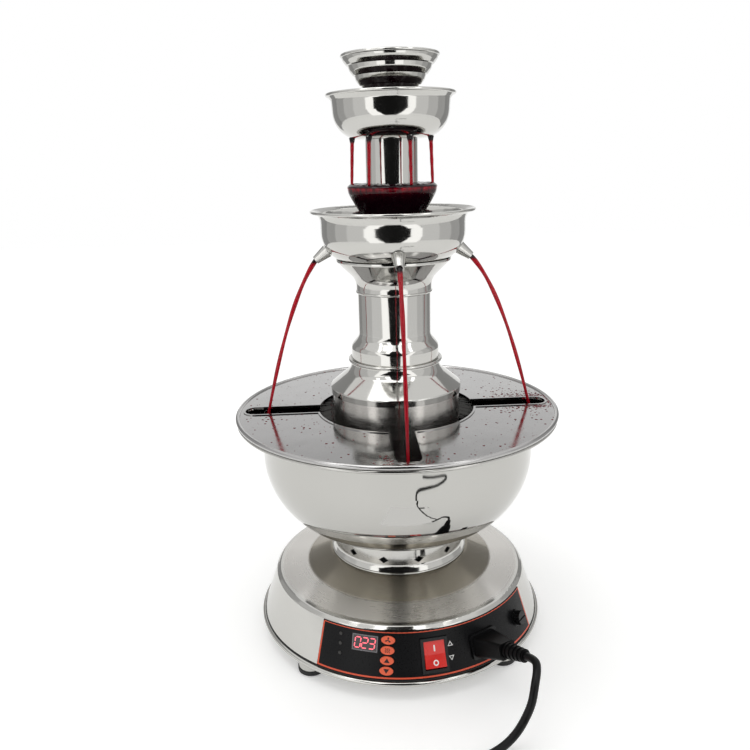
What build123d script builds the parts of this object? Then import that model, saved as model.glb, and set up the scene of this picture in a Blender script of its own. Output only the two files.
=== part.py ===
from build123d import *
import os
from math import atan2, cos, degrees, pi, radians, sin, sqrt, tan

# A drinks fountain of spun stainless steel on a heated electric base, in millimetres.
# The origin is the point of the table below the middle of the fountain. +Z is up.
# The front of the base faces -Y. An azimuth is counted from -Y towards +X.

os.makedirs("parts", exist_ok=True)

# Fits
seat_gap = 0.2
touch_gap = 0.05
slip_gap = 0.4
running_gap = 0.05
panel_gap = 0.25

# Feet
foot_count = 4
foot_first_angle = 45.0
foot_inset = 16.2
foot_pad_radius = 13.4
foot_pad_height = 5.0
foot_pad_chamfer = 1.0
foot_post_radius = 12.8
foot_post_height = 9.0
foot_screw_radius = 2.5
foot_screw_head_radius = 5.0
foot_screw_head_height = 2.6
foot_screw_recess = 3.2
foot_weld_nut_radius = 6.0
foot_weld_nut_height = 5.0

# Base shell, tray and gasket
base_rim_radius = 147.2
rim_bead_radius = 2.4
tray_sheet = 1.2
tray_slot_count = 12
tray_slot_circle = 88.0
tray_slot_length = 26.0
tray_slot_width = 4.0
gasket_show = 1.6
gasket_width = 3.8
shell_sheet = 1.2
skirt_setback = 3.6
skirt_height = 41.5
skirt_taper = 14.0
shoulder_width = 3.2
shoulder_rise = 2.9
shoulder_bend = 3.0
dome_rise = 4.6
dome_bend = 3.0
well_width = 24.5
well_rise = 13.1
well_bend = 6.0
seat_margin = 1.8
seat_width = 9.3

# Control panel on the skirt
overlay_sheet = 0.8
overlay_left = -37.0
overlay_right = 59.8
overlay_margin = 0.4
panel_drop = 19.25
board_azimuth = -18.0
board_width = 70.0
board_height = 42.0
board_sheet = 1.6
board_depth = 13.0
board_stud_radius = 2.0
board_stud_inset = 4.0
window_width = 24.6
window_height = 15.2
window_rise = 7.5
window_back = 2.9
display_width = 22.6
display_height = 14.0
led_radius = 1.5
led_offset = -23.6
led_rises = (12.7, 3.9, -4.9)
led_proud = 0.6
key_width = 12.3
key_height = 7.6
key_offset = 21.4
key_rises = (12.6, 3.4, -5.8, -15.0)
key_names = ("key_motor", "key_heat", "key_up", "key_down")
key_proud = 0.9
key_travel = 0.8
key_flange_depth = 5.0
key_flange_sheet = 1.0
key_flange_lip = 0.5
key_stem_radius = 2.0
key_stem_length = 3.4
tact_size = 6.4
tact_height = 6.0
tact_pocket_depth = 3.4

# Rocker switch
rocker_azimuth = 8.9
rocker_rise = -3.2
rocker_key_width = 19.2
rocker_key_height = 23.6
rocker_proud = 1.9
rocker_dish = 0.7
rocker_pivot_depth = 3.5
rocker_tilt = 10.0
rocker_pin_radius = 1.5
rocker_pin_length = 1.1
rocker_gap_side = 0.25
rocker_gap_end = 1.1
rocker_wall = 1.5
rocker_bezel_lip = 1.2
rocker_bezel_sheet = 1.5
rocker_body_depth = 20.0
rocker_pocket_depth = 10.0

# Power inlet, plug-in connector and fuse
inlet_azimuth = 30.0
inlet_rise = -4.9
inlet_flange_width = 30.5
inlet_flange_height = 23.5
inlet_flange_sheet = 2.0
inlet_body_width = 27.0
inlet_body_height = 20.0
inlet_body_depth = 22.0
inlet_pocket_width = 24.4
inlet_pocket_height = 16.9
inlet_pocket_depth = 16.0
inlet_corner = 3.0
inlet_pin_width = 2.0
inlet_pin_height = 4.0
inlet_pin_length = 13.0
inlet_tab_length = 9.0
inlet_pin_places = ((-7.0, -2.0), (0.0, 2.0), (7.0, -2.0))
connector_nose_gap = 0.4
connector_pin_gap = 0.3
connector_body_width = 27.0
connector_body_height = 19.5
connector_tail_width = 18.0
connector_tail_height = 15.0
connector_body_length = 32.0
connector_corner = 3.5
relief_length = 24.0
relief_root_radius = 6.6
relief_tip_radius = 4.8
relief_rib_count = 5
relief_rib_height = 0.9
relief_rib_width = 2.4
fuse_azimuth = 51.2
fuse_rise = -2.8
fuse_flange_radius = 7.9
fuse_flange_sheet = 1.4
fuse_body_radius = 6.4
fuse_body_depth = 34.0
fuse_bore_radius = 4.6
fuse_cap_radius = 6.9
fuse_cap_height = 5.5
fuse_cap_stem_length = 9.0
fuse_cap_slot_width = 1.6
fuse_cap_slot_depth = 1.5
fuse_cap_groove_count = 18
fuse_cap_groove_radius = 0.7
fuse_glass_radius = 2.6
fuse_glass_length = 20.0

# Tie rods that clamp tray, shell, collar and bowl
tie_count = 3
tie_flange_inset = 4.0
tie_first_angle = 30.0
tie_rod_radius = 2.5
tie_nut_radius = 4.6
tie_nut_height = 4.0

# Motor, drive and heater below the bowl
motor_plate_radius = 66.0
motor_plate_sheet = 2.0
motor_radius = 31.0
motor_wall = 1.6
motor_length = 50.0
motor_flange_radius = 37.0
motor_flange_sheet = 2.0
motor_screw_circle = 33.8
motor_screw_radius = 1.5
motor_screw_head_radius = 2.8
motor_screw_head_height = 2.0
motor_screw_count = 4
motor_floor = 3.0
stator_radius = 20.0
stator_length = 28.0
stator_lift = 10.5
bearing_radius = 9.0
bearing_height = 6.0
bearing_seat_wall = 2.0
shaft_radius = 4.0
rotor_air_gap = 0.8
drive_hub_radius = 24.0
drive_hub_height = 12.0
drive_hub_clearance = 2.5
drive_magnet_count = 6
drive_magnet_radius = 4.0
drive_magnet_circle = 16.0
heater_inner_radius = 28.0
heater_outer_radius = 44.0
heater_height = 6.0
probe_radius = 2.5
probe_height = 7.0
probe_azimuth = 75.0

# Vent collar
collar_sheet = 1.0
collar_foot_radius = 69.5
collar_taper = 3.5
collar_flare_run = 3.3
collar_flare_rise = 6.0
collar_flare_bend = 7.0
collar_flange_width = 14.0
collar_height = 29.5
collar_bend = 1.6
collar_bead_radius = 1.1
vent_count = 12
vent_first_azimuth = 13.0
vent_rise = 14.0
vent_width = 9.7
vent_height = 7.2

# Lower bowl
bowl_sheet = 1.2
bowl_wall_radius = 135.0
bowl_corner_radius = 80.3
bowl_height = 116.2
bowl_flange_bend = 3.0
bowl_rim_radius = 159.0
bowl_bead_radius = 1.6

# Splash plate
plate_sheet = 1.0
plate_overhang = 0.8
plate_bead_radius = 2.2
plate_hole_gap = 15.0
plate_slot_count = 4
plate_slot_width = 22.5
plate_slot_margin = 8.8
plate_slot_corner = 10.5
plate_hem_width = 2.0
plate_hem_rise = 0.8

# Pump on the floor of the bowl
pump_radius = 38.0
pump_wall = 2.5
pump_base_sheet = 3.0
pump_height = 34.0
pump_window_count = 8
pump_window_width = 14.0
pump_window_height = 9.0
pump_window_rise = 12.0
pump_pin_radius = 2.5
pump_pin_length = 27.0
pump_cover_rise = 15.0
pump_socket_wall = 2.0
pump_socket_length = 18.0
impeller_disc_radius = 30.0
impeller_disc_height = 6.0
impeller_clearance = 0.6
impeller_hub_radius = 8.0
impeller_blade_count = 5
impeller_blade_height = 15.0
impeller_blade_sheet = 2.4
impeller_blade_sweep = 35.0

# Column and riser
column_sheet = 1.2
column_skirt_radius = 62.5
column_skirt_height = 144.3
column_notch_count = 6
column_notch_width = 22.0
column_notch_height = 12.0
crest_overhang = 2.0
crest_rise = 0.8
crest_lip = 6.0
crest_bend = 1.6
flare_rise = 17.0
flare_bend = 12.0
neck_radius = 43.4
neck_height = 8.0
neck_bend = 1.0
rim_overhang = 2.8
column_seat_width = 3.0
column_bead_radius = 1.5
trunk_foot_radius = 42.8
trunk_belly_height = 13.4
trunk_taper_height = 9.2
trunk_radius = 35.1
trunk_height = 68.6
trunk_belly_bend = 7.0
trunk_waist_bend = 9.0
capital_overlap = 3.5
capital_neck_height = 12.6
capital_neck_bend = 16.0
capital_rim_radius = 54.9
capital_flare_rise = 18.1
capital_lip = 2.2
capital_lip_bend = 1.6
capital_bead_radius = 1.3
riser_radius = 8.0
riser_wall = 1.0
riser_plug_depth = 14.0
riser_top_rise = 20.0
riser_seal_height = 5.0
riser_seal_wall = 2.5
spider_sheet = 3.0
spider_hub_wall = 3.0
spider_rim_wall = 4.0
spider_arm_width = 6.0
spider_arm_count = 3

# Middle bowl and its spouts
mid_sheet = 1.2
mid_wall_radius = 68.2
mid_corner_radius = 28.0
mid_wall_height = 39.6
mid_curl_rise = 5.4
mid_curl_run = 2.5
mid_curl_bend = 18.0
mid_lip_rise = 2.4
mid_rim_radius = 77.8
mid_lip_bend = 3.0
mid_bead_radius = 1.4
hub_wall = 1.2
mid_hub_height = 58.0
spout_count = 4
spout_drop_angle = 37.0
spout_length = 14.3
spout_root_radius = 6.5
spout_tip_radius = 4.0
spout_bore_radius = 2.9
spout_shank_radius = 4.2
spout_shank_length = 7.0
spout_nut_radius = 7.2
spout_nut_height = 3.4

# Drip cup and upper tube
cup_sheet = 1.2
cup_stem_radius = 13.0
cup_stem_height = 38.9
cup_floor_radius = 26.0
cup_belly_radius = 39.8
cup_belly_rise = 23.0
cup_rim_radius = 41.0
cup_height = 28.5
cup_floor_bend = 3.0
cup_belly_bend = 14.0
upper_tube_radius = 24.1
upper_tube_wall = 1.2
upper_tube_height = 69.2

# Upper bowl and its drip nozzles
upper_sheet = 1.2
upper_floor_radius = 51.5
upper_corner_radius = 25.0
upper_wall_radius = 54.0
upper_wall_height = 33.4
upper_lip_rise = 5.0
upper_lip_bend = 3.0
upper_rim_radius = 59.1
upper_bead_radius = 1.4
upper_hub_height = 12.0
nozzle_count = 6
nozzle_first_azimuth = 23.0
nozzle_circle_radius = 36.0
nozzle_radius = 2.4
nozzle_bore_radius = 1.4
nozzle_drop = 0.6
nozzle_stand = 1.6
nozzle_flange_radius = 3.4

# Top cup
top_sheet = 1.2
top_stem_radius = 22.0
top_stem_height = 44.3
top_stem_notch_count = 6
top_stem_notch_width = 9.0
top_stem_notch_height = 8.0
top_foot_radius = 26.5
top_foot_height = 4.0
top_foot_run = 2.2
top_band_count = 3
top_band_run = 4.2
top_band_rise = 7.8
top_bulge_run = 2.9
top_bulge_rise = 3.7
top_bulge_bend = 6.0
top_ledge_run = 1.5
top_ledge_rise = 0.6
top_bead_radius = 1.4

# Cord
cord_radius = 3.5
cord_far_points = (
    (100.8, -190.6, 60.1),
    (96.3, -200.8, 52.7),
    (93.1, -206.5, 40.7),
    (87.4, -208.4, 27.3),
    (79.9, -210.0, 14.2),
    (67.6, -214.9, 5.7),
    (50.5, -223.5, 4.6),
)
cord_first_run = 12.7
cord_last_run = 20.0
cord_corner_share = 0.45
coil_centre = (14.0, -292.0)
coil_lift = 1.7
coil_turns_down = 3.0
coil_turns_up = 2.5
coil_inner_radius = 29.0
coil_pitch = 7.8
coil_layer_step = 7.7
coil_start_azimuth = 200.0
coil_tail_swing = 16.0
coil_tail_run = 7.5
tie_strap_sheet = 0.8
tie_strap_width = 9.0
tie_strap_gap = 0.7
tie_strap_share = 0.75
plug_body_radius = 12.0
plug_body_length = 30.0
plug_neck_length = 14.0
plug_pin_radius = 2.4
plug_pin_length = 19.0
plug_pin_spread = 9.5


# Levels from the table up
tray_z = foot_pad_height + foot_post_height
tray_top = tray_z + tray_sheet
rim_bead_z = tray_z + rim_bead_radius
rim_top = tray_z + 2 * rim_bead_radius
rim_bead_circle = base_rim_radius - rim_bead_radius
foot_circle_radius = base_rim_radius - foot_inset
skirt_z = rim_top + gasket_show
skirt_radius = base_rim_radius - skirt_setback
skirt_top_z = skirt_z + skirt_height
skirt_top_radius = skirt_radius - skirt_taper
skirt_lean = atan2(skirt_taper, skirt_height)
dome_radius = skirt_top_radius - shoulder_width
dome_z = skirt_top_z + shoulder_rise
well_radius = collar_foot_radius + seat_margin
step_radius = well_radius + well_width
step_z = dome_z + dome_rise
seat_z = step_z + well_rise
shell_opening_radius = well_radius - seat_width
collar_top_radius = collar_foot_radius - collar_taper
collar_flange_radius = collar_top_radius - collar_flange_width
tie_circle_radius = collar_flange_radius + tie_flange_inset
bowl_z = seat_z + touch_gap + collar_height
floor_z = bowl_z + bowl_sheet
bowl_flat_radius = bowl_wall_radius - bowl_corner_radius
bowl_flange_z = bowl_z + bowl_height
bowl_rim_top = bowl_flange_z + bowl_sheet / 2 + bowl_bead_radius
plate_mid_z = bowl_rim_top + seat_gap + plate_bead_radius
plate_bottom = plate_mid_z - plate_sheet / 2
plate_radius = bowl_rim_radius + plate_overhang
plate_hole_radius = column_skirt_radius + plate_hole_gap
plate_slot_end = plate_radius - plate_slot_margin
motor_plate_z = seat_z - shell_sheet - touch_gap - motor_plate_sheet
motor_plate_top = motor_plate_z + motor_plate_sheet
motor_top = motor_plate_z - touch_gap
motor_z = motor_top - motor_length
stator_z = motor_z + stator_lift
hub_top = bowl_z - drive_hub_clearance
hub_z = hub_top - drive_hub_height
pump_top = floor_z + pump_height


def bowl_inside_z(radius):
    """height of the inner face of the lower bowl at a radius on its rounded corner"""
    inner_corner = bowl_corner_radius - bowl_sheet
    reach = max(radius - bowl_flat_radius, 0)
    return bowl_z + bowl_corner_radius - sqrt(inner_corner**2 - reach**2)


column_z = bowl_inside_z(column_skirt_radius) + seat_gap
column_skirt_top = column_z + column_skirt_height
crest_radius = column_skirt_radius + crest_overhang
crest_z = column_skirt_top + crest_rise
neck_z = crest_z + flare_rise
column_rim_z = neck_z + neck_height
trunk_z = column_rim_z + column_sheet + touch_gap
trunk_top = trunk_z + trunk_height
capital_radius = trunk_radius + touch_gap + column_sheet
capital_z = trunk_top - capital_overlap
capital_rim_z = capital_z + capital_neck_height + capital_flare_rise + capital_lip
mid_flat_radius = mid_wall_radius - mid_corner_radius
mid_seat_reach = capital_rim_radius - column_sheet - mid_flat_radius
mid_seat_drop = mid_corner_radius - sqrt(mid_corner_radius**2 - mid_seat_reach**2)
mid_z = capital_rim_z + seat_gap - mid_seat_drop
mid_floor_z = mid_z + mid_sheet
mid_lip_z = mid_z + mid_wall_height
mid_curl_z = mid_lip_z + mid_curl_rise
mid_rim_z = mid_curl_z + mid_lip_rise
hub_bore_radius = riser_radius + slip_gap
hub_radius = hub_bore_radius + hub_wall
cup_stem_z = mid_floor_z + seat_gap
cup_z = cup_stem_z + cup_stem_height
upper_tube_z = cup_z + cup_sheet + touch_gap
upper_z = upper_tube_z + upper_tube_height + seat_gap
upper_floor_z = upper_z + upper_sheet
upper_lip_z = upper_z + upper_wall_height
upper_rim_z = upper_lip_z + upper_lip_rise
upper_wall_slope = atan2(upper_wall_height, upper_wall_radius - upper_floor_radius)
upper_flat_radius = upper_floor_radius - upper_corner_radius * tan(upper_wall_slope / 2)
nozzle_reach = max(nozzle_circle_radius + nozzle_flange_radius - upper_flat_radius, 0)
nozzle_seat_rise = upper_corner_radius - sqrt((upper_corner_radius - upper_sheet) ** 2 - nozzle_reach**2)
nozzle_flange_z = upper_z + nozzle_seat_rise + seat_gap
nozzle_tip_z = upper_z - nozzle_drop
riser_z = pump_top + pump_cover_rise + pump_socket_length - riser_plug_depth
riser_top = upper_z + riser_top_rise
top_stem_z = upper_floor_z + seat_gap
top_floor_z = top_stem_z + top_stem_height
panel_mid_z = skirt_top_z - panel_drop


def around(radius, azimuth, z=0.0):
    """point at a radius and an azimuth from the front"""
    turn = radians(azimuth)
    return (radius * sin(turn), -radius * cos(turn), z)


def facing(radius, azimuth, z):
    """upright plane that faces outwards: x to the right, y up"""
    turn = radians(azimuth)
    return Plane(
        origin=around(radius, azimuth, z),
        x_dir=(cos(turn), sin(turn), 0),
        z_dir=(sin(turn), -cos(turn), 0),
    )


def skirt_radius_at(z):
    """outer radius of the leaning skirt at a height"""
    return skirt_radius - skirt_taper * (z - skirt_z) / skirt_height


def panel_plane(azimuth, rise=0.0, out=0.0):
    """plane on the skirt: x to the right, y up the skirt, z outwards"""
    turn = radians(azimuth)
    right = Vector(cos(turn), sin(turn), 0)
    normal = Vector(sin(turn) * cos(skirt_lean), -cos(turn) * cos(skirt_lean), sin(skirt_lean))
    up = normal.cross(right)
    middle = Vector(*around(skirt_radius_at(panel_mid_z), azimuth, panel_mid_z))
    return Plane(origin=middle + up * rise + normal * out, x_dir=right, z_dir=normal)


def inside_skirt(out):
    """section of all that lies inside the skirt's outer face, moved outwards by out"""
    low = skirt_z - skirt_height
    high = skirt_top_z + skirt_height
    shift = out / cos(skirt_lean)
    with BuildSketch(Plane.XZ) as section:
        with BuildLine():
            Polyline(
                (0, low),
                (skirt_radius_at(low) + shift, low),
                (skirt_radius_at(high) + shift, high),
                (0, high),
                close=True,
            )
        make_face()
    return section.sketch


def spun(points, bends, sheet, bead=None):
    """section of a spun sheet, from its outer line inwards, with an optional rolled edge"""
    with BuildSketch(Plane.XZ) as section:
        with BuildLine():
            FilletPolyline(*points, radius=bends)
            offset(amount=sheet, side=Side.LEFT)
        make_face()
        if bead:
            with Locations(bead[:2]):
                Circle(bead[2])
    return section.sketch


def band(inner, outer, low, high):
    """section of a ring with a square profile"""
    with BuildSketch(Plane.XZ) as section:
        with Locations((inner, low)):
            Rectangle(outer - inner, high - low, align=(Align.MIN, Align.MIN))
    return section.sketch


def circles(z, circle_radius, count, first_angle, radius):
    """equal discs around the axis at a height"""
    with BuildSketch(Plane.XY.offset(z)) as pattern:
        with PolarLocations(circle_radius, count, first_angle):
            Circle(radius)
    return pattern.sketch


def hexagons(z, circle_radius, count, first_angle, radius, bore):
    """equal nut outlines around the axis at a height"""
    with BuildSketch(Plane.XY.offset(z)) as pattern:
        with PolarLocations(circle_radius, count, first_angle):
            RegularPolygon(radius, 6)
            Circle(bore, mode=Mode.SUBTRACT)
    return pattern.sketch


# Feet

with BuildPart() as foot_pads:
    extrude(circles(0, foot_circle_radius, foot_count, foot_first_angle, foot_pad_radius), amount=foot_pad_height)
    chamfer(foot_pads.edges().group_by(Axis.Z)[0], foot_pad_chamfer)
    extrude(
        circles(0, foot_circle_radius, foot_count, foot_first_angle, foot_screw_head_radius + panel_gap),
        amount=foot_screw_recess,
        mode=Mode.SUBTRACT,
    )
    extrude(
        circles(0, foot_circle_radius, foot_count, foot_first_angle, foot_screw_radius + running_gap),
        amount=foot_pad_height,
        mode=Mode.SUBTRACT,
    )
foot_pads.part.label = "foot_pads"
export_step(foot_pads.part, "parts/foot_pads.step")

with BuildPart() as foot_posts:
    extrude(
        circles(foot_pad_height, foot_circle_radius, foot_count, foot_first_angle, foot_post_radius),
        amount=foot_post_height,
    )
    extrude(
        circles(foot_pad_height, foot_circle_radius, foot_count, foot_first_angle, foot_screw_radius + running_gap),
        amount=foot_post_height,
        mode=Mode.SUBTRACT,
    )
foot_posts.part.label = "foot_posts"
export_step(foot_posts.part, "parts/foot_posts.step")

foot_screw_head_z = foot_screw_recess - foot_screw_head_height
foot_screw_end = tray_top + foot_weld_nut_height
with BuildPart() as foot_screws:
    extrude(
        circles(foot_screw_head_z, foot_circle_radius, foot_count, foot_first_angle, foot_screw_head_radius),
        amount=foot_screw_head_height,
    )
    extrude(
        circles(foot_screw_head_z, foot_circle_radius, foot_count, foot_first_angle, foot_screw_radius),
        amount=foot_screw_end - foot_screw_head_z,
    )
foot_screws.part.label = "foot_screws"
export_step(foot_screws.part, "parts/foot_screws.step")

# Tray: a disc with a rolled rim, weld nuts for the feet and cooling slots

with BuildPart() as base_tray:
    with BuildSketch(Plane.XZ):
        with Locations((0, tray_z)):
            Rectangle(rim_bead_circle, tray_sheet, align=(Align.MIN, Align.MIN))
        with Locations((rim_bead_circle, rim_bead_z)):
            Circle(rim_bead_radius)
    revolve(axis=Axis.Z)
    extrude(
        circles(tray_top, foot_circle_radius, foot_count, foot_first_angle, foot_weld_nut_radius),
        amount=foot_weld_nut_height,
    )
    with BuildSketch(Plane.XY.offset(tray_z)):
        with PolarLocations(foot_circle_radius, foot_count, foot_first_angle):
            Circle(foot_screw_radius + running_gap)
        with PolarLocations(tie_circle_radius, tie_count, tie_first_angle):
            Circle(tie_rod_radius + running_gap)
        with PolarLocations(tray_slot_circle, tray_slot_count):
            SlotOverall(tray_slot_length, tray_slot_width)
    extrude(amount=tray_sheet + foot_weld_nut_height, mode=Mode.SUBTRACT)
base_tray.part.label = "base_tray"
export_step(base_tray.part, "parts/base_tray.step")

gasket_outer = rim_bead_circle - rim_bead_radius / 4
gasket_inner = rim_bead_circle - rim_bead_radius - gasket_width / 2
gasket_step = rim_bead_circle - rim_bead_radius - touch_gap
with BuildPart() as base_gasket:
    with BuildSketch(Plane.XZ):
        with BuildLine():
            Polyline(
                (gasket_inner, tray_top + touch_gap),
                (gasket_step, tray_top + touch_gap),
                (gasket_step, rim_top + touch_gap),
                (gasket_outer, rim_top + touch_gap),
                (gasket_outer - skirt_taper * gasket_show / skirt_height, skirt_z - shell_sheet / 2),
                (gasket_inner, skirt_z - shell_sheet / 2),
                close=True,
            )
        make_face()
    revolve(axis=Axis.Z)
base_gasket.part.label = "base_gasket"
export_step(base_gasket.part, "parts/base_gasket.step")

# Base shell with the panel's cut-outs and the studs that carry the control board

board_plane = panel_plane(board_azimuth)
rocker_plane = panel_plane(rocker_azimuth, rocker_rise, overlay_sheet)
inlet_plane = panel_plane(inlet_azimuth, inlet_rise, overlay_sheet)
fuse_plane = panel_plane(fuse_azimuth, fuse_rise, overlay_sheet)
key_places = [(key_offset, rise) for rise in key_rises]
led_places = [(led_offset, rise) for rise in led_rises]
stud_places = [
    (side * (board_width / 2 - board_stud_inset), end * (board_height / 2 - board_stud_inset))
    for side in (-1, 1)
    for end in (-1, 1)
]
rocker_body_width = rocker_key_width + 2 * (rocker_gap_side + rocker_wall)
rocker_body_height = rocker_key_height + 2 * (rocker_gap_end + rocker_wall)
panel_cut_depth = board_depth - touch_gap


def panel_openings():
    """outlines of the cut-outs, each on its own plane"""
    with BuildSketch(board_plane) as board_openings:
        with Locations((0, window_rise)):
            Rectangle(window_width + 2 * panel_gap, window_height + 2 * panel_gap)
        with Locations(*led_places):
            Circle(led_radius + panel_gap)
        with Locations(*key_places):
            Ellipse(key_width / 2 + panel_gap, key_height / 2 + panel_gap)
    with BuildSketch(rocker_plane) as rocker_opening:
        Rectangle(rocker_body_width + 2 * panel_gap, rocker_body_height + 2 * panel_gap)
    with BuildSketch(inlet_plane) as inlet_opening:
        Rectangle(inlet_body_width + 2 * panel_gap, inlet_body_height + 2 * panel_gap)
    with BuildSketch(fuse_plane) as fuse_opening:
        Circle(fuse_body_radius + panel_gap)
    return [board_openings.sketch, rocker_opening.sketch, inlet_opening.sketch, fuse_opening.sketch]


with BuildPart() as base_shell:
    with BuildSketch(board_plane.offset(-board_depth)):
        with Locations(*stud_places):
            Circle(board_stud_radius)
    extrude(amount=board_depth)
    revolve(inside_skirt(-shell_sheet / 2), axis=Axis.Z, mode=Mode.INTERSECT)
    revolve(
        spun(
            [
                (skirt_radius, skirt_z),
                (skirt_top_radius, skirt_top_z),
                (dome_radius, dome_z),
                (step_radius, step_z),
                (well_radius, seat_z),
                (shell_opening_radius, seat_z),
            ],
            [shoulder_bend, shoulder_bend, dome_bend, well_bend],
            shell_sheet,
        ),
        axis=Axis.Z,
    )
    for opening in panel_openings():
        extrude(opening, amount=panel_cut_depth, both=True, mode=Mode.SUBTRACT)
base_shell.part.label = "base_shell"
export_step(base_shell.part, "parts/base_shell.step")

# Panel overlay and what looks through it

overlay_start = facing(0, overlay_left, 0)
overlay_section_plane = Plane(
    origin=(0, 0, 0),
    x_dir=around(1, overlay_left),
    z_dir=-overlay_start.x_dir,
)
overlay_low = skirt_z + overlay_margin
overlay_high = skirt_top_z - overlay_margin
overlay_back = touch_gap / cos(skirt_lean)
overlay_front = (touch_gap + overlay_sheet) / cos(skirt_lean)
with BuildPart() as panel_overlay:
    with BuildSketch(overlay_section_plane):
        with BuildLine():
            Polyline(
                (skirt_radius_at(overlay_low) + overlay_back, overlay_low),
                (skirt_radius_at(overlay_low) + overlay_front, overlay_low),
                (skirt_radius_at(overlay_high) + overlay_front, overlay_high),
                (skirt_radius_at(overlay_high) + overlay_back, overlay_high),
                close=True,
            )
        make_face()
    revolve(axis=Axis.Z, revolution_arc=overlay_right - overlay_left)
    for opening in panel_openings():
        extrude(opening, amount=panel_cut_depth, both=True, mode=Mode.SUBTRACT)
panel_overlay.part.label = "panel_overlay"
export_step(panel_overlay.part, "parts/panel_overlay.step")

with BuildPart() as display_window:
    with BuildSketch(board_plane.offset(-window_back)):
        with Locations((0, window_rise)):
            Rectangle(window_width, window_height)
    extrude(amount=2 * window_back)
    revolve(inside_skirt(overlay_sheet), axis=Axis.Z, mode=Mode.INTERSECT)
display_window.part.label = "display_window"
export_step(display_window.part, "parts/display_window.step")

board_front = board_plane.offset(-board_depth)
with BuildPart() as control_board:
    with BuildSketch(board_front):
        Rectangle(board_width, board_height)
    extrude(amount=-board_sheet)
control_board.part.label = "control_board"
export_step(control_board.part, "parts/control_board.step")

with BuildPart() as display_module:
    with BuildSketch(board_front.offset(touch_gap)):
        with Locations((0, window_rise)):
            Rectangle(display_width, display_height)
    extrude(amount=board_depth - window_back - 2 * touch_gap)
display_module.part.label = "display_module"
export_step(display_module.part, "parts/display_module.step")

with BuildPart() as indicator_leds:
    with BuildSketch(board_front.offset(touch_gap)):
        with Locations(*led_places):
            Circle(led_radius)
    extrude(amount=board_depth)
    revolve(inside_skirt(overlay_sheet + led_proud), axis=Axis.Z, mode=Mode.INTERSECT)
indicator_leds.part.label = "indicator_leds"
export_step(indicator_leds.part, "parts/indicator_leds.step")

with BuildPart() as tact_switches:
    with BuildSketch(board_front.offset(touch_gap)):
        with Locations(*key_places):
            Rectangle(tact_size, tact_size)
    extrude(amount=tact_height)
    with BuildSketch(board_front.offset(touch_gap + tact_height)):
        with Locations(*key_places):
            Circle(key_stem_radius + running_gap)
    extrude(amount=-tact_pocket_depth, mode=Mode.SUBTRACT)
tact_switches.part.label = "tact_switches"
export_step(tact_switches.part, "parts/tact_switches.step")

# Each key has an oval cap that follows the panel, a hidden flange and a stem in its switch
for key_name, key_place in zip(key_names, key_places):
    key_back = board_plane.offset(-key_flange_depth)
    with BuildPart() as panel_key:
        with BuildSketch(key_back):
            with Locations(key_place):
                Ellipse(key_width / 2, key_height / 2)
        extrude(amount=2 * key_flange_depth)
        revolve(inside_skirt(overlay_sheet + key_proud), axis=Axis.Z, mode=Mode.INTERSECT)
        with BuildSketch(key_back):
            with Locations(key_place):
                Ellipse(key_width / 2 + key_flange_lip, key_height / 2 + key_flange_lip)
        extrude(amount=-key_flange_sheet)
        with BuildSketch(key_back.offset(-key_flange_sheet)):
            with Locations(key_place):
                Circle(key_stem_radius)
        extrude(amount=-key_stem_length)
    panel_key.part.label = key_name
    export_step(panel_key.part, f"parts/{key_name}.step")

# Rocker switch: a framed pocket and a key on two short pins

rocker_pocket_width = rocker_key_width + 2 * rocker_gap_side
rocker_pocket_height = rocker_key_height + 2 * rocker_gap_end
rocker_side = Plane(
    origin=rocker_plane.origin - rocker_plane.z_dir * rocker_pivot_depth,
    x_dir=rocker_plane.y_dir,
    z_dir=rocker_plane.x_dir,
)
with BuildPart() as rocker_frame:
    with BuildSketch(rocker_plane.offset(touch_gap)):
        Rectangle(rocker_body_width + 2 * rocker_bezel_lip, rocker_body_height + 2 * rocker_bezel_lip)
    extrude(amount=rocker_bezel_sheet)
    with BuildSketch(rocker_plane.offset(touch_gap)):
        Rectangle(rocker_body_width, rocker_body_height)
    extrude(amount=-rocker_body_depth)
    with BuildSketch(rocker_plane.offset(touch_gap + rocker_bezel_sheet)):
        Rectangle(rocker_pocket_width, rocker_pocket_height)
    extrude(amount=-(rocker_bezel_sheet + rocker_pocket_depth), mode=Mode.SUBTRACT)
    with BuildSketch(rocker_side):
        Circle(rocker_pin_radius + running_gap)
    extrude(amount=rocker_body_width, both=True, mode=Mode.SUBTRACT)
rocker_frame.part.label = "rocker_frame"
export_step(rocker_frame.part, "parts/rocker_frame.step")

rocker_half = rocker_key_height / 2
rocker_front = rocker_pivot_depth + rocker_proud
rocker_heel = rocker_pivot_depth + rocker_pin_radius
with BuildPart() as rocker_key:
    with BuildSketch(rocker_side):
        Polygon(
            (-rocker_half, rocker_front + rocker_dish),
            (-rocker_half, -rocker_pin_radius),
            (-2 * rocker_pin_radius, -rocker_heel),
            (2 * rocker_pin_radius, -rocker_heel),
            (rocker_half, -rocker_pin_radius),
            (rocker_half, rocker_front + rocker_dish),
            (0, rocker_front),
            rotation=-rocker_tilt,
            align=None,
        )
    extrude(amount=rocker_key_width / 2, both=True)
    with BuildSketch(rocker_side):
        Circle(rocker_pin_radius)
    extrude(amount=rocker_key_width / 2 + rocker_pin_length, both=True)
rocker_key.part.label = "rocker_key"
export_step(rocker_key.part, "parts/rocker_key.step")

# Power inlet with three pins, and the connector that is pushed onto them

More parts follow.
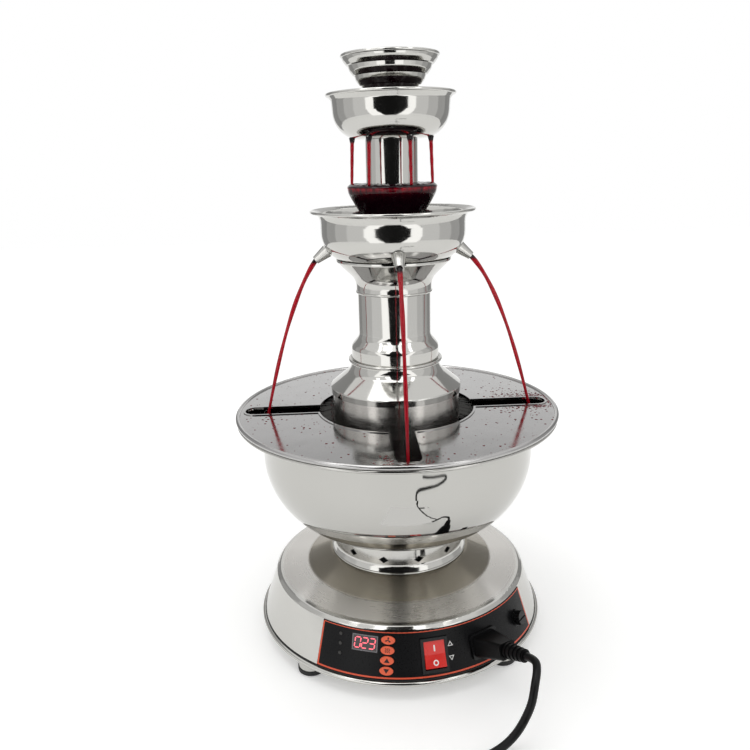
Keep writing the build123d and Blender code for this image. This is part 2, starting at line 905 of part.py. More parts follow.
inlet_face = inlet_plane.offset(touch_gap + inlet_flange_sheet)
inlet_floor = inlet_face.offset(-inlet_pocket_depth)
inlet_back = inlet_plane.offset(touch_gap - inlet_body_depth)
with BuildPart() as inlet_housing:
    with BuildSketch(inlet_plane.offset(touch_gap)):
        RectangleRounded(inlet_flange_width, inlet_flange_height, inlet_corner)
    extrude(amount=inlet_flange_sheet)
    with BuildSketch(inlet_plane.offset(touch_gap)):
        Rectangle(inlet_body_width, inlet_body_height)
    extrude(amount=-inlet_body_depth)
    with BuildSketch(inlet_face):
        RectangleRounded(inlet_pocket_width, inlet_pocket_height, inlet_corner)
    extrude(amount=-inlet_pocket_depth, mode=Mode.SUBTRACT)
    with BuildSketch(inlet_back):
        with Locations(*inlet_pin_places):
            Rectangle(inlet_pin_width + 2 * running_gap, inlet_pin_height + 2 * running_gap)
    extrude(amount=inlet_body_depth, mode=Mode.SUBTRACT)
inlet_housing.part.label = "inlet_housing"
export_step(inlet_housing.part, "parts/inlet_housing.step")

with BuildPart() as inlet_pins:
    with BuildSketch(inlet_back.offset(-inlet_tab_length)):
        with Locations(*inlet_pin_places):
            Rectangle(inlet_pin_width, inlet_pin_height)
    inlet_floor_height = inlet_body_depth + inlet_flange_sheet - inlet_pocket_depth
    extrude(amount=inlet_tab_length + inlet_floor_height + inlet_pin_length)
inlet_pins.part.label = "inlet_pins"
export_step(inlet_pins.part, "parts/inlet_pins.step")

connector_face = inlet_face.offset(seat_gap)
connector_tail = connector_face.offset(connector_body_length)
connector_nose_length = inlet_pocket_depth - connector_nose_gap
with BuildPart() as cord_connector:
    with BuildSketch(connector_face):
        RectangleRounded(connector_body_width, connector_body_height, connector_corner)
    with BuildSketch(connector_tail):
        RectangleRounded(connector_tail_width, connector_tail_height, connector_corner)
    loft()
    with BuildSketch(connector_face):
        RectangleRounded(
            inlet_pocket_width - 2 * connector_nose_gap,
            inlet_pocket_height - 2 * connector_nose_gap,
            inlet_corner,
        )
    extrude(amount=-connector_nose_length)
    with BuildSketch(inlet_floor):
        with Locations(*inlet_pin_places):
            Rectangle(inlet_pin_width + 2 * connector_pin_gap, inlet_pin_height + 2 * connector_pin_gap)
    extrude(amount=inlet_pocket_depth, mode=Mode.SUBTRACT)
    with Locations(connector_tail.location):
        Cone(
            relief_root_radius,
            relief_tip_radius,
            relief_length,
            align=(Align.CENTER, Align.CENTER, Align.MIN),
        )
    for rib in range(relief_rib_count):
        rib_share = (rib + 0.5) / relief_rib_count
        rib_radius = relief_root_radius + (relief_tip_radius - relief_root_radius) * rib_share + relief_rib_height
        with BuildSketch(connector_tail.offset(relief_length * rib_share - relief_rib_width / 2)):
            Circle(rib_radius)
        extrude(amount=relief_rib_width)
cord_connector.part.label = "cord_connector"
export_step(cord_connector.part, "parts/cord_connector.step")

# Fuse holder, its screw cap and the fuse inside

fuse_face = fuse_plane.offset(touch_gap + fuse_flange_sheet)
with BuildPart() as fuse_holder:
    with BuildSketch(fuse_plane.offset(touch_gap)):
        Circle(fuse_flange_radius)
    extrude(amount=fuse_flange_sheet)
    with BuildSketch(fuse_plane.offset(touch_gap)):
        Circle(fuse_body_radius)
    extrude(amount=-fuse_body_depth)
    with BuildSketch(fuse_face):
        Circle(fuse_bore_radius)
    extrude(amount=-(fuse_cap_stem_length + fuse_glass_length + seat_gap), mode=Mode.SUBTRACT)
fuse_holder.part.label = "fuse_holder"
export_step(fuse_holder.part, "parts/fuse_holder.step")

with BuildPart() as fuse_cap:
    with BuildSketch(fuse_face.offset(seat_gap)):
        Circle(fuse_cap_radius)
        with PolarLocations(fuse_cap_radius, fuse_cap_groove_count):
            Circle(fuse_cap_groove_radius, mode=Mode.SUBTRACT)
    extrude(amount=fuse_cap_height)
    with BuildSketch(fuse_face.offset(seat_gap + fuse_cap_height)):
        Rectangle(2 * fuse_cap_radius, fuse_cap_slot_width)
    extrude(amount=-fuse_cap_slot_depth, mode=Mode.SUBTRACT)
    with BuildSketch(fuse_face.offset(seat_gap)):
        Circle(fuse_bore_radius - running_gap)
    extrude(amount=-fuse_cap_stem_length)
fuse_cap.part.label = "fuse_cap"
export_step(fuse_cap.part, "parts/fuse_cap.step")

with BuildPart() as fuse_cartridge:
    with BuildSketch(fuse_face.offset(-fuse_cap_stem_length)):
        Circle(fuse_glass_radius)
    extrude(amount=-fuse_glass_length)
fuse_cartridge.part.label = "fuse_cartridge"
export_step(fuse_cartridge.part, "parts/fuse_cartridge.step")

# Tie rods below the bowl, with nuts over the motor plate and under the tray

tie_rod_z = tray_z - tie_nut_height
with BuildPart() as tie_rods:
    extrude(
        circles(tie_rod_z, tie_circle_radius, tie_count, tie_first_angle, tie_rod_radius),
        amount=bowl_z - touch_gap - tie_rod_z,
    )
tie_rods.part.label = "tie_rods"
export_step(tie_rods.part, "parts/tie_rods.step")

tie_nut_bore = tie_rod_radius + running_gap
with BuildPart() as tie_nuts:
    for nut_z in (tie_rod_z - touch_gap, motor_plate_z - tie_nut_height - touch_gap, motor_plate_top + touch_gap):
        extrude(
            hexagons(nut_z, tie_circle_radius, tie_count, tie_first_angle, tie_nut_radius, tie_nut_bore),
            amount=tie_nut_height,
        )
tie_nuts.part.label = "tie_nuts"
export_step(tie_nuts.part, "parts/tie_nuts.step")

# Motor: a plate under the shell, a can with stator and bearings, and the rotor

bearing_seat_radius = bearing_radius + bearing_seat_wall
with BuildPart() as motor_plate:
    extrude(circles(motor_plate_z, 0, 1, 0, motor_plate_radius), amount=motor_plate_sheet)
    extrude(
        circles(motor_plate_z, 0, 1, 0, bearing_seat_radius),
        amount=-bearing_height,
    )
    with BuildSketch(Plane.XY.offset(motor_plate_z - bearing_height)):
        Circle(bearing_radius + running_gap)
    extrude(amount=bearing_height, mode=Mode.SUBTRACT)
    with BuildSketch(Plane.XY.offset(motor_plate_z)):
        Circle(shaft_radius + slip_gap)
        with PolarLocations(tie_circle_radius, tie_count, tie_first_angle):
            Circle(tie_rod_radius + running_gap)
        with PolarLocations(motor_screw_circle, motor_screw_count):
            Circle(motor_screw_radius + running_gap)
    extrude(amount=motor_plate_sheet, mode=Mode.SUBTRACT)
motor_plate.part.label = "motor_plate"
export_step(motor_plate.part, "parts/motor_plate.step")

with BuildPart() as motor_case:
    revolve(band(motor_radius - motor_wall, motor_radius, motor_z, motor_top), axis=Axis.Z)
    revolve(band(motor_radius - motor_wall, motor_flange_radius, motor_top - motor_flange_sheet, motor_top), axis=Axis.Z)
    revolve(band(0, motor_radius, motor_z, motor_z + motor_floor), axis=Axis.Z)
    revolve(band(0, bearing_seat_radius, motor_z, motor_z + motor_floor + bearing_height), axis=Axis.Z)
    extrude(
        circles(motor_z + motor_floor, 0, 1, 0, bearing_radius + running_gap),
        amount=bearing_height,
        mode=Mode.SUBTRACT,
    )
    extrude(
        circles(motor_top, motor_screw_circle, motor_screw_count, 0, motor_screw_radius + running_gap),
        amount=-motor_flange_sheet,
        mode=Mode.SUBTRACT,
    )
motor_case.part.label = "motor_case"
export_step(motor_case.part, "parts/motor_case.step")

motor_screw_length = motor_plate_sheet + touch_gap + motor_flange_sheet
with BuildPart() as motor_screws:
    extrude(
        circles(motor_plate_top + touch_gap, motor_screw_circle, motor_screw_count, 0, motor_screw_head_radius),
        amount=motor_screw_head_height,
    )
    extrude(
        circles(motor_plate_top + touch_gap, motor_screw_circle, motor_screw_count, 0, motor_screw_radius),
        amount=-motor_screw_length,
    )
motor_screws.part.label = "motor_screws"
export_step(motor_screws.part, "parts/motor_screws.step")

with BuildPart() as stator:
    revolve(
        band(stator_radius, motor_radius - motor_wall - running_gap, stator_z, stator_z + stator_length),
        axis=Axis.Z,
    )
stator.part.label = "stator"
export_step(stator.part, "parts/stator.step")

low_bearing_z = motor_z + motor_floor + touch_gap
high_bearing_z = motor_plate_z - bearing_height
with BuildPart() as motor_bearings:
    for bearing_z in (low_bearing_z, high_bearing_z):
        revolve(
            band(shaft_radius + running_gap, bearing_radius, bearing_z, bearing_z + bearing_height - 2 * touch_gap),
            axis=Axis.Z,
        )
motor_bearings.part.label = "motor_bearings"
export_step(motor_bearings.part, "parts/motor_bearings.step")

with BuildPart() as motor_rotor:
    revolve(band(0, shaft_radius, low_bearing_z + touch_gap, hub_top), axis=Axis.Z)
    revolve(
        band(0, stator_radius - rotor_air_gap, stator_z + touch_gap, stator_z + stator_length - touch_gap),
        axis=Axis.Z,
    )
motor_rotor.part.label = "motor_rotor"
export_step(motor_rotor.part, "parts/motor_rotor.step")

with BuildPart() as drive_hub:
    revolve(band(shaft_radius + touch_gap, drive_hub_radius, hub_z, hub_top), axis=Axis.Z)
    extrude(
        circles(hub_top, drive_magnet_circle, drive_magnet_count, 0, drive_magnet_radius),
        amount=drive_hub_clearance / 4,
    )
drive_hub.part.label = "drive_hub"
export_step(drive_hub.part, "parts/drive_hub.step")

with BuildPart() as heater_ring:
    revolve(
        band(heater_inner_radius, heater_outer_radius, bowl_z - touch_gap - heater_height, bowl_z - touch_gap),
        axis=Axis.Z,
    )
heater_ring.part.label = "heater_ring"
export_step(heater_ring.part, "parts/heater_ring.step")

probe_circle = (heater_outer_radius + collar_flange_radius) / 2
with BuildPart() as temperature_probe:
    with BuildSketch(Plane.XY.offset(bowl_z - touch_gap)):
        with Locations(around(probe_circle, probe_azimuth)[:2]):
            Circle(probe_radius)
    extrude(amount=-probe_height)
temperature_probe.part.label = "temperature_probe"
export_step(temperature_probe.part, "parts/temperature_probe.step")

# Vent collar between base and bowl, with diamond holes

collar_z = seat_z + touch_gap
vent_reach = collar_foot_radius - collar_top_radius + 2 * collar_bead_radius + collar_sheet
with BuildPart() as vent_collar:
    revolve(
        spun(
            [
                (collar_foot_radius, collar_z + collar_bead_radius),
                (collar_foot_radius - collar_flare_run, collar_z + collar_bead_radius + collar_flare_rise),
                (collar_top_radius, bowl_z - touch_gap),
                (collar_flange_radius, bowl_z - touch_gap),
            ],
            [collar_flare_bend, collar_bend],
            collar_sheet,
            (collar_foot_radius - collar_sheet / 2, collar_z + collar_bead_radius, collar_bead_radius),
        ),
        axis=Axis.Z,
    )
    extrude(
        circles(bowl_z, tie_circle_radius, tie_count, tie_first_angle, tie_rod_radius + running_gap),
        amount=-2 * collar_sheet,
        mode=Mode.SUBTRACT,
    )
    for vent in range(vent_count):
        vent_azimuth = vent_first_azimuth + vent * 360 / vent_count
        with BuildSketch(facing(collar_top_radius, vent_azimuth, collar_z + vent_rise)):
            Polygon((vent_width / 2, 0), (0, vent_height / 2), (-vent_width / 2, 0), (0, -vent_height / 2))
        extrude(amount=vent_reach, both=True, mode=Mode.SUBTRACT)
vent_collar.part.label = "vent_collar"
export_step(vent_collar.part, "parts/vent_collar.step")

# Lower bowl with a wide flange

bowl_bead_circle = bowl_rim_radius - bowl_bead_radius
with BuildPart() as lower_bowl:
    revolve(
        spun(
            [
                (0, bowl_z),
                (bowl_wall_radius, bowl_z),
                (bowl_wall_radius, bowl_flange_z),
                (bowl_bead_circle, bowl_flange_z),
            ],
            [bowl_corner_radius, bowl_flange_bend],
            bowl_sheet,
            (bowl_bead_circle, bowl_flange_z + bowl_sheet / 2, bowl_bead_radius),
        ),
        axis=Axis.Z,
    )
lower_bowl.part.label = "lower_bowl"
export_step(lower_bowl.part, "parts/lower_bowl.step")

# Splash plate with a hole for the column and four hemmed slots


def plate_opening(margin):
    """outline of the column hole and the slots, widened by margin"""
    slot_length = plate_slot_end - plate_hole_radius / 2 + margin
    slot_middle = plate_slot_end + margin - slot_length / 2
    with BuildSketch(Plane.XY.offset(plate_bottom - plate_hem_rise)) as outline:
        Circle(plate_hole_radius + margin)
        with PolarLocations(slot_middle, plate_slot_count):
            RectangleRounded(slot_length, plate_slot_width + 2 * margin, plate_slot_corner + margin)
    return outline.sketch


plate_bead_circle = plate_radius - plate_bead_radius
plate_hem_height = plate_sheet + 2 * plate_hem_rise
with BuildPart() as splash_plate:
    with BuildSketch(Plane.XZ):
        with Locations((0, plate_bottom)):
            Rectangle(plate_bead_circle, plate_sheet, align=(Align.MIN, Align.MIN))
        with Locations((plate_bead_circle, plate_mid_z)):
            Circle(plate_bead_radius)
    revolve(axis=Axis.Z)
    extrude(plate_opening(plate_hem_width), amount=plate_hem_height)
    extrude(plate_opening(0), amount=plate_hem_height, mode=Mode.SUBTRACT)
splash_plate.part.label = "splash_plate"
export_step(splash_plate.part, "parts/splash_plate.step")

# Pump: a housing with windows on the floor of the bowl, its cover and the impeller

pump_inner = pump_radius - pump_wall
pump_floor = floor_z + touch_gap + pump_base_sheet
riser_seal_radius = riser_radius + riser_seal_wall
pump_socket_radius = riser_seal_radius + running_gap
with BuildPart() as pump_housing:
    revolve(band(0, pump_radius, floor_z + touch_gap, pump_floor), axis=Axis.Z)
    revolve(band(pump_inner, pump_radius, floor_z + touch_gap, pump_top), axis=Axis.Z)
    for window in range(pump_window_count):
        window_azimuth = window * 360 / pump_window_count
        with BuildSketch(facing(pump_inner, window_azimuth, floor_z + pump_window_rise + pump_window_height / 2)):
            Rectangle(pump_window_width, pump_window_height)
        extrude(amount=2 * pump_wall, both=True, mode=Mode.SUBTRACT)
    revolve(band(0, pump_pin_radius, floor_z + touch_gap, pump_floor + pump_pin_length), axis=Axis.Z)
pump_housing.part.label = "pump_housing"
export_step(pump_housing.part, "parts/pump_housing.step")

pump_socket_z = pump_top + pump_cover_rise
with BuildPart() as pump_cover:
    revolve(
        spun(
            [
                (pump_radius, pump_top + touch_gap),
                (pump_radius, pump_top + touch_gap + pump_wall),
                (pump_socket_radius + pump_socket_wall, pump_socket_z),
                (pump_socket_radius + pump_socket_wall, pump_socket_z + pump_socket_length),
            ],
            [0, 0],
            pump_socket_wall,
        ),
        axis=Axis.Z,
    )
pump_cover.part.label = "pump_cover"
export_step(pump_cover.part, "parts/pump_cover.step")

impeller_z = pump_floor + impeller_clearance
impeller_disc_top = impeller_z + impeller_disc_height
blade_mid_radius = (impeller_hub_radius + impeller_disc_radius) / 2
with BuildPart() as impeller:
    revolve(band(0, impeller_disc_radius, impeller_z, impeller_disc_top), axis=Axis.Z)
    revolve(band(0, impeller_hub_radius, impeller_z, impeller_disc_top + impeller_blade_height), axis=Axis.Z)
    with BuildSketch(Plane.XY.offset(impeller_disc_top)):
        with PolarLocations(blade_mid_radius, impeller_blade_count):
            Rectangle(impeller_disc_radius - impeller_hub_radius, impeller_blade_sheet, rotation=impeller_blade_sweep)
    extrude(amount=impeller_blade_height)
    extrude(
        circles(impeller_z, 0, 1, 0, pump_pin_radius + running_gap),
        amount=impeller_disc_height + impeller_blade_height,
        mode=Mode.SUBTRACT,
    )
impeller.part.label = "impeller"
export_step(impeller.part, "parts/impeller.step")

# Column: a notched skirt, a shoulder, a trunk and a capital around the riser

with BuildPart() as column_skirt:
    revolve(band(column_skirt_radius - column_sheet, column_skirt_radius, column_z, column_skirt_top), axis=Axis.Z)
    for notch in range(column_notch_count):
        notch_azimuth = notch * 360 / column_notch_count
        with BuildSketch(facing(column_skirt_radius, notch_azimuth, column_z)):
            SlotOverall(2 * column_notch_height, column_notch_width, rotation=90)
        extrude(amount=2 * column_sheet, both=True, mode=Mode.SUBTRACT)
column_skirt.part.label = "column_skirt"
export_step(column_skirt.part, "parts/column_skirt.step")

column_rim_radius = neck_radius + rim_overhang
column_bead_circle = column_rim_radius - column_bead_radius
with BuildPart() as column_shoulder:
    revolve(
        spun(
            [
                (crest_radius, crest_z - crest_lip),
                (crest_radius, crest_z),
                (neck_radius, neck_z),
                (neck_radius, column_rim_z),
                (column_bead_circle, column_rim_z),
            ],
            [crest_bend, flare_bend, neck_bend],
            column_sheet,
            (column_bead_circle, column_rim_z + column_sheet / 2, column_bead_radius),
        ),
        axis=Axis.Z,
    )
    revolve(
        band(neck_radius - column_seat_width, column_bead_circle, column_rim_z, column_rim_z + column_sheet),
        axis=Axis.Z,
    )
column_shoulder.part.label = "column_shoulder"
export_step(column_shoulder.part, "parts/column_shoulder.step")

trunk_belly_z = trunk_z + trunk_belly_height
with BuildPart() as column_trunk:
    revolve(
        spun(
            [
                (trunk_foot_radius, trunk_z),
                (trunk_foot_radius, trunk_belly_z),
                (trunk_radius, trunk_belly_z + trunk_taper_height),
                (trunk_radius, trunk_top),
            ],
            [trunk_belly_bend, trunk_waist_bend],
            column_sheet,
        ),
        axis=Axis.Z,
    )
column_trunk.part.label = "column_trunk"
export_step(column_trunk.part, "parts/column_trunk.step")

capital_flare_z = capital_z + capital_neck_height
with BuildPart() as column_capital:
    revolve(
        spun(
            [
                (capital_radius, capital_z),
                (capital_radius, capital_flare_z),
                (capital_rim_radius, capital_flare_z + capital_flare_rise),
                (capital_rim_radius, capital_rim_z),
            ],
            [capital_neck_bend, capital_lip_bend],
            column_sheet,
            (capital_radius - column_sheet / 2 + touch_gap, capital_z + capital_bead_radius, capital_bead_radius),
        ),
        axis=Axis.Z,
    )
    revolve(band(0, trunk_radius + touch_gap, capital_z, trunk_top + touch_gap), axis=Axis.Z, mode=Mode.SUBTRACT)
column_capital.part.label = "column_capital"
export_step(column_capital.part, "parts/column_capital.step")

with BuildPart() as riser_tube:
    revolve(band(riser_radius - riser_wall, riser_radius, riser_z, riser_top), axis=Axis.Z)
riser_tube.part.label = "riser_tube"
export_step(riser_tube.part, "parts/riser_tube.step")

with BuildPart() as riser_seal:
    revolve(
        band(riser_radius + running_gap, riser_seal_radius, riser_z + seat_gap, riser_z + seat_gap + riser_seal_height),
        axis=Axis.Z,
    )
riser_seal.part.label = "riser_seal"
export_step(riser_seal.part, "parts/riser_seal.step")

spider_bore = riser_radius + running_gap
low_spider_radius = trunk_foot_radius - column_sheet - touch_gap
high_spider_radius = trunk_radius + touch_gap
with BuildPart() as riser_spiders:
    for spider_radius, spider_z in ((low_spider_radius, trunk_z), (high_spider_radius, trunk_top + touch_gap)):
        with BuildSketch(Plane.XY.offset(spider_z)):
            Circle(spider_radius - touch_gap)
            Circle(spider_radius - spider_rim_wall, mode=Mode.SUBTRACT)
            Circle(spider_bore + spider_hub_wall)
            with PolarLocations(spider_radius / 2, spider_arm_count):
                Rectangle(spider_radius - spider_rim_wall / 2, spider_arm_width)
            Circle(spider_bore, mode=Mode.SUBTRACT)
        extrude(amount=spider_sheet)
riser_spiders.part.label = "riser_spiders"
export_step(riser_spiders.part, "parts/riser_spiders.step")

# Middle bowl, its spouts and the nuts that hold them


def spout_plane(azimuth):
    """plane on the rounded corner of the middle bowl, z along a spout"""
    turn = radians(azimuth)
    drop = radians(spout_drop_angle)
    flat = cos(drop)
    axis = Vector(sin(turn) * flat, -cos(turn) * flat, -sin(drop))
    corner = Vector(*around(mid_flat_radius, azimuth, mid_z + mid_corner_radius))
    return Plane(origin=corner + axis * mid_corner_radius, x_dir=(cos(turn), sin(turn), 0), z_dir=axis)


spout_planes = [spout_plane(spout * 360 / spout_count) for spout in range(spout_count)]
mid_bead_circle = mid_rim_radius - mid_bead_radius
with BuildPart() as mid_bowl:
    revolve(
        spun(
            [
                (hub_bore_radius + hub_wall / 2, mid_z),
                (mid_wall_radius, mid_z),
                (mid_wall_radius, mid_lip_z),
                (mid_wall_radius + mid_curl_run, mid_curl_z),
                (mid_bead_circle, mid_rim_z),
            ],
            [mid_corner_radius, mid_curl_bend, mid_lip_bend],
            mid_sheet,
            (mid_bead_circle, mid_rim_z, mid_bead_radius),
        ),
        axis=Axis.Z,
    )
    revolve(band(hub_bore_radius, hub_radius, mid_z, mid_z + mid_hub_height), axis=Axis.Z)
    for plane in spout_planes:
        with BuildSketch(plane):
            Circle(spout_shank_radius + touch_gap)
        extrude(amount=spout_shank_length, both=True, mode=Mode.SUBTRACT)
mid_bowl.part.label = "mid_bowl"
export_step(mid_bowl.part, "parts/mid_bowl.step")

with BuildPart() as spouts:
    for plane in spout_planes:
        with Locations(plane.offset(seat_gap).location):
            Cone(
                spout_root_radius,
                spout_tip_radius,
                spout_length,
                align=(Align.CENTER, Align.CENTER, Align.MIN),
            )
        with BuildSketch(plane.offset(seat_gap)):
            Circle(spout_shank_radius)
        extrude(amount=-(spout_shank_length + seat_gap))
        with BuildSketch(plane.offset(-spout_shank_length)):
            Circle(spout_bore_radius)
        extrude(amount=2 * spout_shank_length + spout_length, mode=Mode.SUBTRACT)
spouts.part.label = "spouts"
export_step(spouts.part, "parts/spouts.step")

# The inner wall curves away from a nut's flat face, so the nut stands off by that much
spout_nut_stand = spout_nut_radius**2 / (2 * (mid_corner_radius - mid_sheet)) + touch_gap
with BuildPart() as spout_nuts:
    for plane in spout_planes:
        with BuildSketch(plane.offset(-mid_sheet - spout_nut_stand)):
            RegularPolygon(spout_nut_radius, 6)
            Circle(spout_shank_radius + running_gap, mode=Mode.SUBTRACT)
        extrude(amount=-spout_nut_height)
spout_nuts.part.label = "spout_nuts"
export_step(spout_nuts.part, "parts/spout_nuts.step")

# Drip cup on its stem, and the tube that carries the upper bowl

with BuildPart() as drip_cup:
    revolve(
        spun(
            [
                (hub_radius + slip_gap, cup_z),
                (cup_floor_radius, cup_z),
                (cup_belly_radius, cup_z + cup_belly_rise),
                (cup_rim_radius, cup_z + cup_height),
            ],
            [cup_floor_bend, cup_belly_bend],
            cup_sheet,
        ),
        axis=Axis.Z,
    )
    revolve(band(cup_stem_radius - cup_sheet, cup_stem_radius, cup_stem_z, cup_z + cup_sheet / 2), axis=Axis.Z)
drip_cup.part.label = "drip_cup"
export_step(drip_cup.part, "parts/drip_cup.step")

with BuildPart() as upper_tube:
    revolve(
        band(
            upper_tube_radius - upper_tube_wall,
            upper_tube_radius,
            upper_tube_z,
            upper_tube_z + upper_tube_height,
        ),
        axis=Axis.Z,
    )
upper_tube.part.label = "upper_tube"
export_step(upper_tube.part, "parts/upper_tube.step")

# Upper bowl and the nozzles in its floor

upper_bead_circle = upper_rim_radius - upper_bead_radius
nozzle_first_angle = nozzle_first_azimuth - 90
with BuildPart() as upper_bowl:
    revolve(
        spun(
            [
                (hub_bore_radius + hub_wall / 2, upper_z),
                (upper_floor_radius, upper_z),
                (upper_wall_radius, upper_lip_z),
                (upper_bead_circle, upper_rim_z),
            ],
            [upper_corner_radius, upper_lip_bend],
            upper_sheet,
            (upper_bead_circle, upper_rim_z, upper_bead_radius),
        ),
        axis=Axis.Z,
    )
    revolve(band(hub_bore_radius, hub_radius, upper_z, upper_z + upper_hub_height), axis=Axis.Z)
    extrude(
        circles(upper_z, nozzle_circle_radius, nozzle_count, nozzle_first_angle, nozzle_radius + touch_gap),
        amount=nozzle_seat_rise,
        mode=Mode.SUBTRACT,
    )
upper_bowl.part.label = "upper_bowl"
export_step(upper_bowl.part, "parts/upper_bowl.step")

nozzle_flange_height = nozzle_stand - seat_gap
nozzle_height = nozzle_flange_z + nozzle_flange_height - nozzle_tip_z
with BuildPart() as drip_nozzles:
    extrude(
        circles(nozzle_tip_z, nozzle_circle_radius, nozzle_count, nozzle_first_angle, nozzle_radius),
        amount=nozzle_height,
    )
    extrude(
        circles(nozzle_flange_z, nozzle_circle_radius, nozzle_count, nozzle_first_angle, nozzle_flange_radius),
        amount=nozzle_flange_height,
    )
    extrude(
        circles(nozzle_tip_z, nozzle_circle_radius, nozzle_count, nozzle_first_angle, nozzle_bore_radius),
        amount=nozzle_height,
        mode=Mode.SUBTRACT,
    )
drip_nozzles.part.label = "drip_nozzles"
export_step(drip_nozzles.part, "parts/drip_nozzles.step")

# Top cup: three rounded bands over a leaning foot ring, on a notched stem

top_points = [(0, top_floor_z), (top_foot_radius, top_floor_z)]
for _ in range(top_band_count):
    last_radius, last_z = top_points[-1]
    band_radius = last_radius + top_ledge_run
    band_z = last_z + top_ledge_rise
    top_points.append((band_radius, band_z))
    top_points.append((band_radius + top_bulge_run, band_z + top_bulge_rise))
    top_points.append((band_radius + top_band_run, band_z + top_band_rise))
top_rim_radius, top_rim_z = top_points[-1]
top_bends = [0] + [0, top_bulge_bend, 0] * top_band_count
top_bends.pop()
with BuildPart() as top_cup:
    revolve(
        spun(
            top_points,
            top_bends,
            top_sheet,
            (top_rim_radius - top_sheet / 2, top_rim_z, top_bead_radius),
        ),
        axis=Axis.Z,
    )
    with BuildSketch(Plane.XZ):
        Polygon(
            (top_foot_radius - top_foot_run - top_sheet, top_floor_z - top_foot_height),
            (top_foot_radius - top_foot_run, top_floor_z - top_foot_height),
            (top_foot_radius, top_floor_z + top_sheet / 2),
            (top_foot_radius - top_sheet, top_floor_z + top_sheet / 2),
            align=None,
        )
    revolve(axis=Axis.Z)
    revolve(
        band(top_stem_radius - top_sheet, top_stem_radius, top_stem_z, top_floor_z + top_sheet / 2),
        axis=Axis.Z,
    )
    for notch in range(top_stem_notch_count):
        notch_azimuth = notch * 360 / top_stem_notch_count
        with BuildSketch(facing(top_stem_radius, notch_azimuth, top_stem_z)):
            Rectangle(top_stem_notch_width, 2 * top_stem_notch_height)
        extrude(amount=2 * top_sheet, both=True, mode=Mode.SUBTRACT)
top_cup.part.label = "top_cup"
export_step(top_cup.part, "parts/top_cup.step")

# Cord: a free stretch from the connector to the table, and a coil that ends in a plug


coil_start_angle = radians(coil_start_azimuth - 90)


def bend_radii(points):
    """largest tangent arc at each corner of a route"""
    radii = []
    for before, corner, after in zip(points, points[1:], points[2:]):
        run_in = Vector(*corner) - Vector(*before)
        run_out = Vector(*after) - Vector(*corner)
        half_turn = radians(run_in.get_angle(run_out)) / 2
        shorter = min(run_in.length, run_out.length)
        radii.append(cord_corner_share * shorter * cos(half_turn) / sin(half_turn))
    return radii


def coil_place(turns):
    """middle of the coiled cord after so many turns, winding in, climbing and winding out"""
    total = coil_turns_down + coil_turns_up
    climb_start = coil_turns_down - 0.25
    climb = min(max((turns - climb_start) / 0.5, 0), 1)
    climb = climb * climb * (3 - 2 * climb)
    if turns < coil_turns_down:
        radius = coil_inner_radius + coil_pitch * (coil_turns_down - turns)
    else:
        radius = coil_inner_radius + coil_pitch * (turns - coil_turns_down)
    swing = max(turns - (total - 0.5), 0) / 0.5
    radius += coil_tail_swing * swing * swing
    angle = coil_start_angle + 2 * pi * turns
    height = coil_lift + cord_radius + coil_layer_step * climb
    return Vector(coil_centre[0] + radius * cos(angle), coil_centre[1] + radius * sin(angle), height)


def coil_heading(turns):
    """direction of the coiled cord after so many turns"""
    small = 1e-4
    return (coil_place(turns + small) - coil_place(turns - small)).normalized()


def biarc_joint(start, start_heading, end, end_heading):
    """point where two tangent arcs of equal reach meet"""
    chord = end - start
    total = start_heading + end_heading
    lead = 2 * (1 - start_heading.dot(end_heading))
    along = chord.dot(total)
    reach = (-along + sqrt(along**2 + lead * chord.dot(chord))) / lead
    return (start + start_heading * reach + end - end_heading * reach) * 0.5


cord_exit = connector_tail.offset(relief_length).origin
cord_heading = connector_tail.z_dir
cord_start = cord_exit + cord_heading * cord_first_run
coil_total_turns = coil_turns_down + coil_turns_up
coil_entry = coil_place(0)
coil_entry_heading = coil_heading(0)
cord_end = coil_entry - coil_entry_heading * (2 * cord_radius)
cord_lead = cord_end - coil_entry_heading * cord_last_run
cord_route = [tuple(cord_exit), tuple(cord_start), *cord_far_points, tuple(cord_lead), tuple(cord_end)]
cord_radii = bend_radii(cord_route)
print("cord bend radii", [round(radius, 1) for radius in cord_radii])
with BuildPart() as cord_run:
    with BuildLine() as cord_path:
        FilletPolyline(*cord_route, radius=cord_radii)
    with BuildSketch(Plane(origin=cord_exit, z_dir=cord_heading)):
        Circle(cord_radius)
    sweep(path=cord_path.line)
cord_run.part.label = "cord_run"
export_step(cord_run.part, "parts/cord_run.step")
cord_run_length = sum(edge.length for edge in cord_path.edges())
cord_section = pi * cord_radius**2
cord_run_ratio = cord_run.part.volume / (cord_section * cord_run_length)
print("cord run", round(cord_run_length, 1), "volume ratio", round(cord_run_ratio, 4))

coil_steps = int(round(coil_total_turns * 4))
coil_end = coil_place(coil_total_turns)
coil_end_heading = coil_heading(coil_total_turns)
coil_out = coil_end + coil_end_heading * coil_tail_run
with BuildPart() as cord_coil:
    with BuildLine() as coil_path:
        Line(tuple(cord_end), tuple(coil_entry))
        for step in range(coil_steps):
            start = coil_place(step / 4)
            end = coil_place((step + 1) / 4)
            heading = coil_heading(step / 4)
            joint = biarc_joint(start, heading, end, coil_heading((step + 1) / 4))
            first = TangentArc(start, joint, tangent=heading)
            TangentArc(joint, end, tangent=first % 1)
        Line(tuple(coil_end), tuple(coil_out))
    with BuildSketch(Plane(origin=cord_end, z_dir=coil_entry_heading)):
        Circle(cord_radius)
    sweep(path=coil_path.line)
cord_coil.part.label = "cord_coil"
export_step(cord_coil.part, "parts/cord_coil.step")
coil_length = sum(edge.length for edge in coil_path.edges())
coil_ratio = cord_coil.part.volume / (cord_section * coil_length)
print("coil", round(coil_length, 1), "volume ratio", round(coil_ratio, 4))

